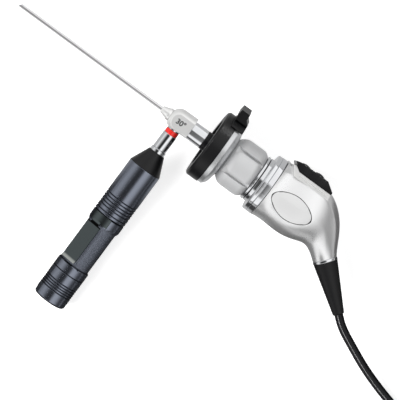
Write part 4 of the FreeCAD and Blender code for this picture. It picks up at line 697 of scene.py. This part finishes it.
# %% One spline for the whole cable
cord_data = bpy.data.curves.new("cable_run", "CURVE")
cord_data.dimensions = "3D"
cord_data.bevel_depth = CABLE_DIAMETER / 2
cord_data.bevel_resolution = 5
cord_data.use_fill_caps = True
cord_data.resolution_u = 6
spline = cord_data.splines.new("NURBS")
spline.points.add(len(route) - 1)
for point, place in zip(spline.points, route):
    point.co = (*place, 1.0)
spline.order_u = 3
spline.use_endpoint_u = True
spline.use_smooth = True
cord = bpy.data.objects.new("cable_run", cord_data)
scene.collection.objects.link(cord)
cord_data.materials.append(finishes["cable"])

# %% What the cable replaces and carries
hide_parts("cable", "cable_coil", "cable_tail")
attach(cord, "head")
print("cable ends in the plug")

# %% [markdown]
# ## The angle on the block
#
# The flat face of the scope block tells the viewing angle, as an inked "30°". Cutting it into the block would
# cost many faces for a mark of a few picture elements, so thin flat letters lie on the face.

# %% Inked letters
MARK_ALONG = 124.9
BLOCK_FACE = 6.6
MARK_LIFT = 0.012
LETTER_SIZE = 4.8
LETTER_WEIGHT = 0.12
LETTER_DEPTH = 0.01


def lettering(name, text, matrix):
    """Flat letters as a thin mesh, lying in the XY plane of a frame."""
    data = bpy.data.curves.new(name, "FONT")
    data.body = text
    data.size = LETTER_SIZE * MM
    data.align_x = "CENTER"
    data.align_y = "CENTER"
    data.extrude = LETTER_DEPTH * MM
    data.offset = LETTER_WEIGHT * MM
    made = bpy.data.objects.new(name, data)
    scene.collection.objects.link(made)
    made.matrix_world = matrix
    bpy.context.view_layer.update()
    solid = bpy.data.objects.new(name, bpy.data.meshes.new_from_object(made))
    solid.matrix_world = matrix
    scene.collection.objects.link(solid)
    bpy.data.objects.remove(made)
    paint(solid, "ink")
    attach(solid, "scope")
    return solid


face_centre = head_point(MARK_ALONG) + scope_above * (BLOCK_FACE + MARK_LIFT) * MM
mark = lettering("angle_mark", "30°", turned_frame(face_centre, along, scope_above))
print("letters", len(mark.data.polygons), "faces")

# %% [markdown]
# ## The floor
#
# The photograph stands on white, with a faint shadow. A plain bright floor would fade the shadow, and a
# plain grey one would show. So the camera sees a floor that takes the shadow and glows a little. Shiny parts
# see an even grey with three dark cards beside the torch and the head, which draw the parts' outlines.

# %% White floor with dark cards for the shine
WHITE = (1.0, 1.0, 1.0)
FLOOR_HALF = 3.0
FLOOR_DROP = 0.0005
FLOOR_GLOW = 0.64
FLOOR_MIRRORED = 0.55
FLOOR_CENTRE = Vector((PHOTO_CENTRE.x, PHOTO_CENTRE.y, -FLOOR_DROP))
CARD_GREY = 0.06
DARK_CARDS = [
    # along and across in millimetres, and the soft edge
    ((-180.0, 110.0), (-230.0, 0.0), 12.0),
    ((62.0, 240.0), (-20.0, 34.0), 14.0),
    ((112.0, 260.0), (30.0, 140.0), 12.0),
]


def by_ray(finish, for_camera, for_shine, for_rest):
    """One surface or sky as the camera sees it, one as shiny parts see it, and one that lights the rest."""
    path = finish.node("ShaderNodeLightPath")
    values = {0: path["Is Glossy Ray"], 1: for_rest, 2: for_shine}
    other = finish.node("ShaderNodeMixShader", None, values)[0]
    return finish.node("ShaderNodeMixShader", None, {0: path["Is Camera Ray"], 1: other, 2: for_camera})[0]


def floor_material():
    """White to the camera except where the shadow falls."""
    finish = Finish("floor")
    x, y, _ = finish.place(Matrix.Translation(-FLOOR_CENTRE))
    pale = (finish.noise(40.0, 2.0) * 0.02).mix((0.80, 0.80, 0.80), (0.78, 0.78, 0.78))
    matt = finish.node("ShaderNodeBsdfDiffuse", None, {"Color": pale})["BSDF"]
    glow = finish.node("ShaderNodeEmission", None, {"Color": WHITE, "Strength": FLOOR_GLOW})["Emission"]
    seen = finish.node("ShaderNodeAddShader", None, {0: matt, 1: glow})[0]
    open_floor = 1.0
    for reach_x, reach_y, soft in DARK_CARDS:
        open_floor = open_floor * (1.0 - x.between(*reach_x, soft) * y.between(*reach_y, soft))
    strength = CARD_GREY + open_floor * (FLOOR_MIRRORED - CARD_GREY)
    mirrored = finish.node("ShaderNodeEmission", None, {"Color": WHITE, "Strength": strength})["Emission"]
    finish.node("ShaderNodeOutputMaterial", None, {"Surface": by_ray(finish, seen, mirrored, matt)})
    return finish.material


corners = [(x * FLOOR_HALF, y * FLOOR_HALF, 0) for x, y in ((-1, -1), (1, -1), (1, 1), (-1, 1))]
floor_mesh = bpy.data.meshes.new("floor")
floor_mesh.from_pydata(corners, [], [(0, 1, 2, 3)])
floor_mesh.materials.append(floor_material())
floor = bpy.data.objects.new("floor", floor_mesh)
floor.location = FLOOR_CENTRE
scene.collection.objects.link(floor)
print("floor", 2 * FLOOR_HALF, "m wide")

# %% [markdown]
# ## The sky that shiny parts see
#
# Chrome shows nothing but the room. In the photograph the posts have a dark band between bright ones, and
# the torch is dark at its flanks. A room of boards and boxes could give that, but each board would also cast
# its own light. This sky is made by the direction alone: bright in a broad ridge, dark low down at both ends
# of the scope's axis, and with one dark patch overhead. The camera sees white, and the rest gets a dim sky.

# %% A sky made by direction
SKY_BRIGHT = 1.15
SKY_TIP = 0.85
SKY_LOW = 0.12
SKY_EDGE = 0.45
SKY_DIP = 0.96
SKY_EVEN = 0.34


def sky_strength(sky):
    """How bright the sky is. Leans are in degrees from straight up, along X and along Y."""
    direction = sky.node("ShaderNodeTexCoord")["Generated"]
    parts = sky.node("ShaderNodeSeparateXYZ", None, {"Vector": direction})
    lean_x, lean_y = (sky.maths("ARCTAN2", parts[name], parts["Z"]) * (180 / math.pi) for name in "XY")
    ridge = lean_x.step(-112.0, -66.0) * (1.0 - lean_x.step(34.0, 76.0))
    bright = SKY_TIP + lean_x.step(-20.0, 30.0) * (SKY_BRIGHT - SKY_TIP)
    edge = lean_x.between(80.0, 104.0, 6.0) * lean_y.step(0.0, 20.0)
    dip = lean_x.step(-62.0, -18.0) * (1.0 - lean_x.step(2.0, 22.0)) * lean_y.between(-54.0, 6.0, 6.0)
    strength = SKY_LOW + ridge * (bright - SKY_LOW) + edge * SKY_EDGE
    return strength * (1.0 - dip * SKY_DIP)


def sky_light(sky, strength):
    """A white sky of some strength."""
    return sky.node("ShaderNodeBackground", None, {"Color": WHITE, "Strength": strength})["Background"]


sky = Finish("studio", bpy.data.worlds)
mirrored_sky = sky_light(sky, sky_strength(sky))
surface = by_ray(sky, sky_light(sky, 1.0), mirrored_sky, sky_light(sky, SKY_EVEN))
sky.node("ShaderNodeOutputWorld", None, {"Surface": surface})
scene.world = sky.material
print("sky nodes", len(sky.tree.nodes))

# %% [markdown]
# ## Lamps
#
# A large soft box on the tip's side and a weaker one behind the head light everything, and aren't seen in
# the shine. Black parts would be flat without a shine of their own. They get four small lamps, and each of
# these falls on its own pieces only. The long one draws the thin light line along the cable.

# %% Soft boxes
LIT_HEIGHT = 0.02
BLACK_FINISHES = ("black_anodised", "black_plastic", "black_rubber")
PAD_PIECES = ("keypad_pad", "button_front", "button_rear")


def group(name, things):
    """A collection that says which pieces a light falls on."""
    made = bpy.data.collections.new(name)
    for thing in things:
        made.objects.link(thing)
    return made


def soft_box(name, place, width, depth, power, only=None):
    """A light that looks at the middle of the object, from a place in metres along, across and above it.

    One made for a few pieces only is also seen in their shine."""
    data = bpy.data.lights.new(name, "AREA")
    data.shape = "RECTANGLE"
    data.size = width
    data.size_y = depth
    data.energy = power
    lamp = bpy.data.objects.new(name, data)
    target = Vector((PHOTO_CENTRE.x, PHOTO_CENTRE.y, LIT_HEIGHT))
    lamp.location = target + Vector(place)
    lamp.rotation_euler = (target - lamp.location).to_track_quat("-Z", "Y").to_euler()
    lamp.visible_glossy = only is not None
    if only:
        lamp.light_linking.receiver_collection = only
    scene.collection.objects.link(lamp)


black_parts = group("black_parts", [shown[node] for node in LOOKS if LOOKS[node][0] in BLACK_FINISHES])
cable_parts = group("cable_parts", [cord])
pad_parts = group("pad_parts", [shown[node] for node in PAD_PIECES])
soft_box("key_box", (-0.6, -0.5, 0.9), 0.7, 0.7, 15.0)
soft_box("fill_box", (0.1, 0.9, 0.8), 0.8, 0.6, 3.5)
soft_box("spark_box", (0.15, 1.0, 0.50), 0.12, 0.12, 1.6, black_parts)
soft_box("edge_box", (-0.9, 0.1, 0.55), 0.10, 0.6, 2.5, black_parts)
soft_box("cable_box", (-0.21, -0.61, 0.77), 1.60, 0.12, 42.0, cable_parts)
soft_box("pad_box", (0.15, 1.0, 0.50), 0.08, 0.08, 5.0, pad_parts)
print("lamps", len(bpy.data.lights))
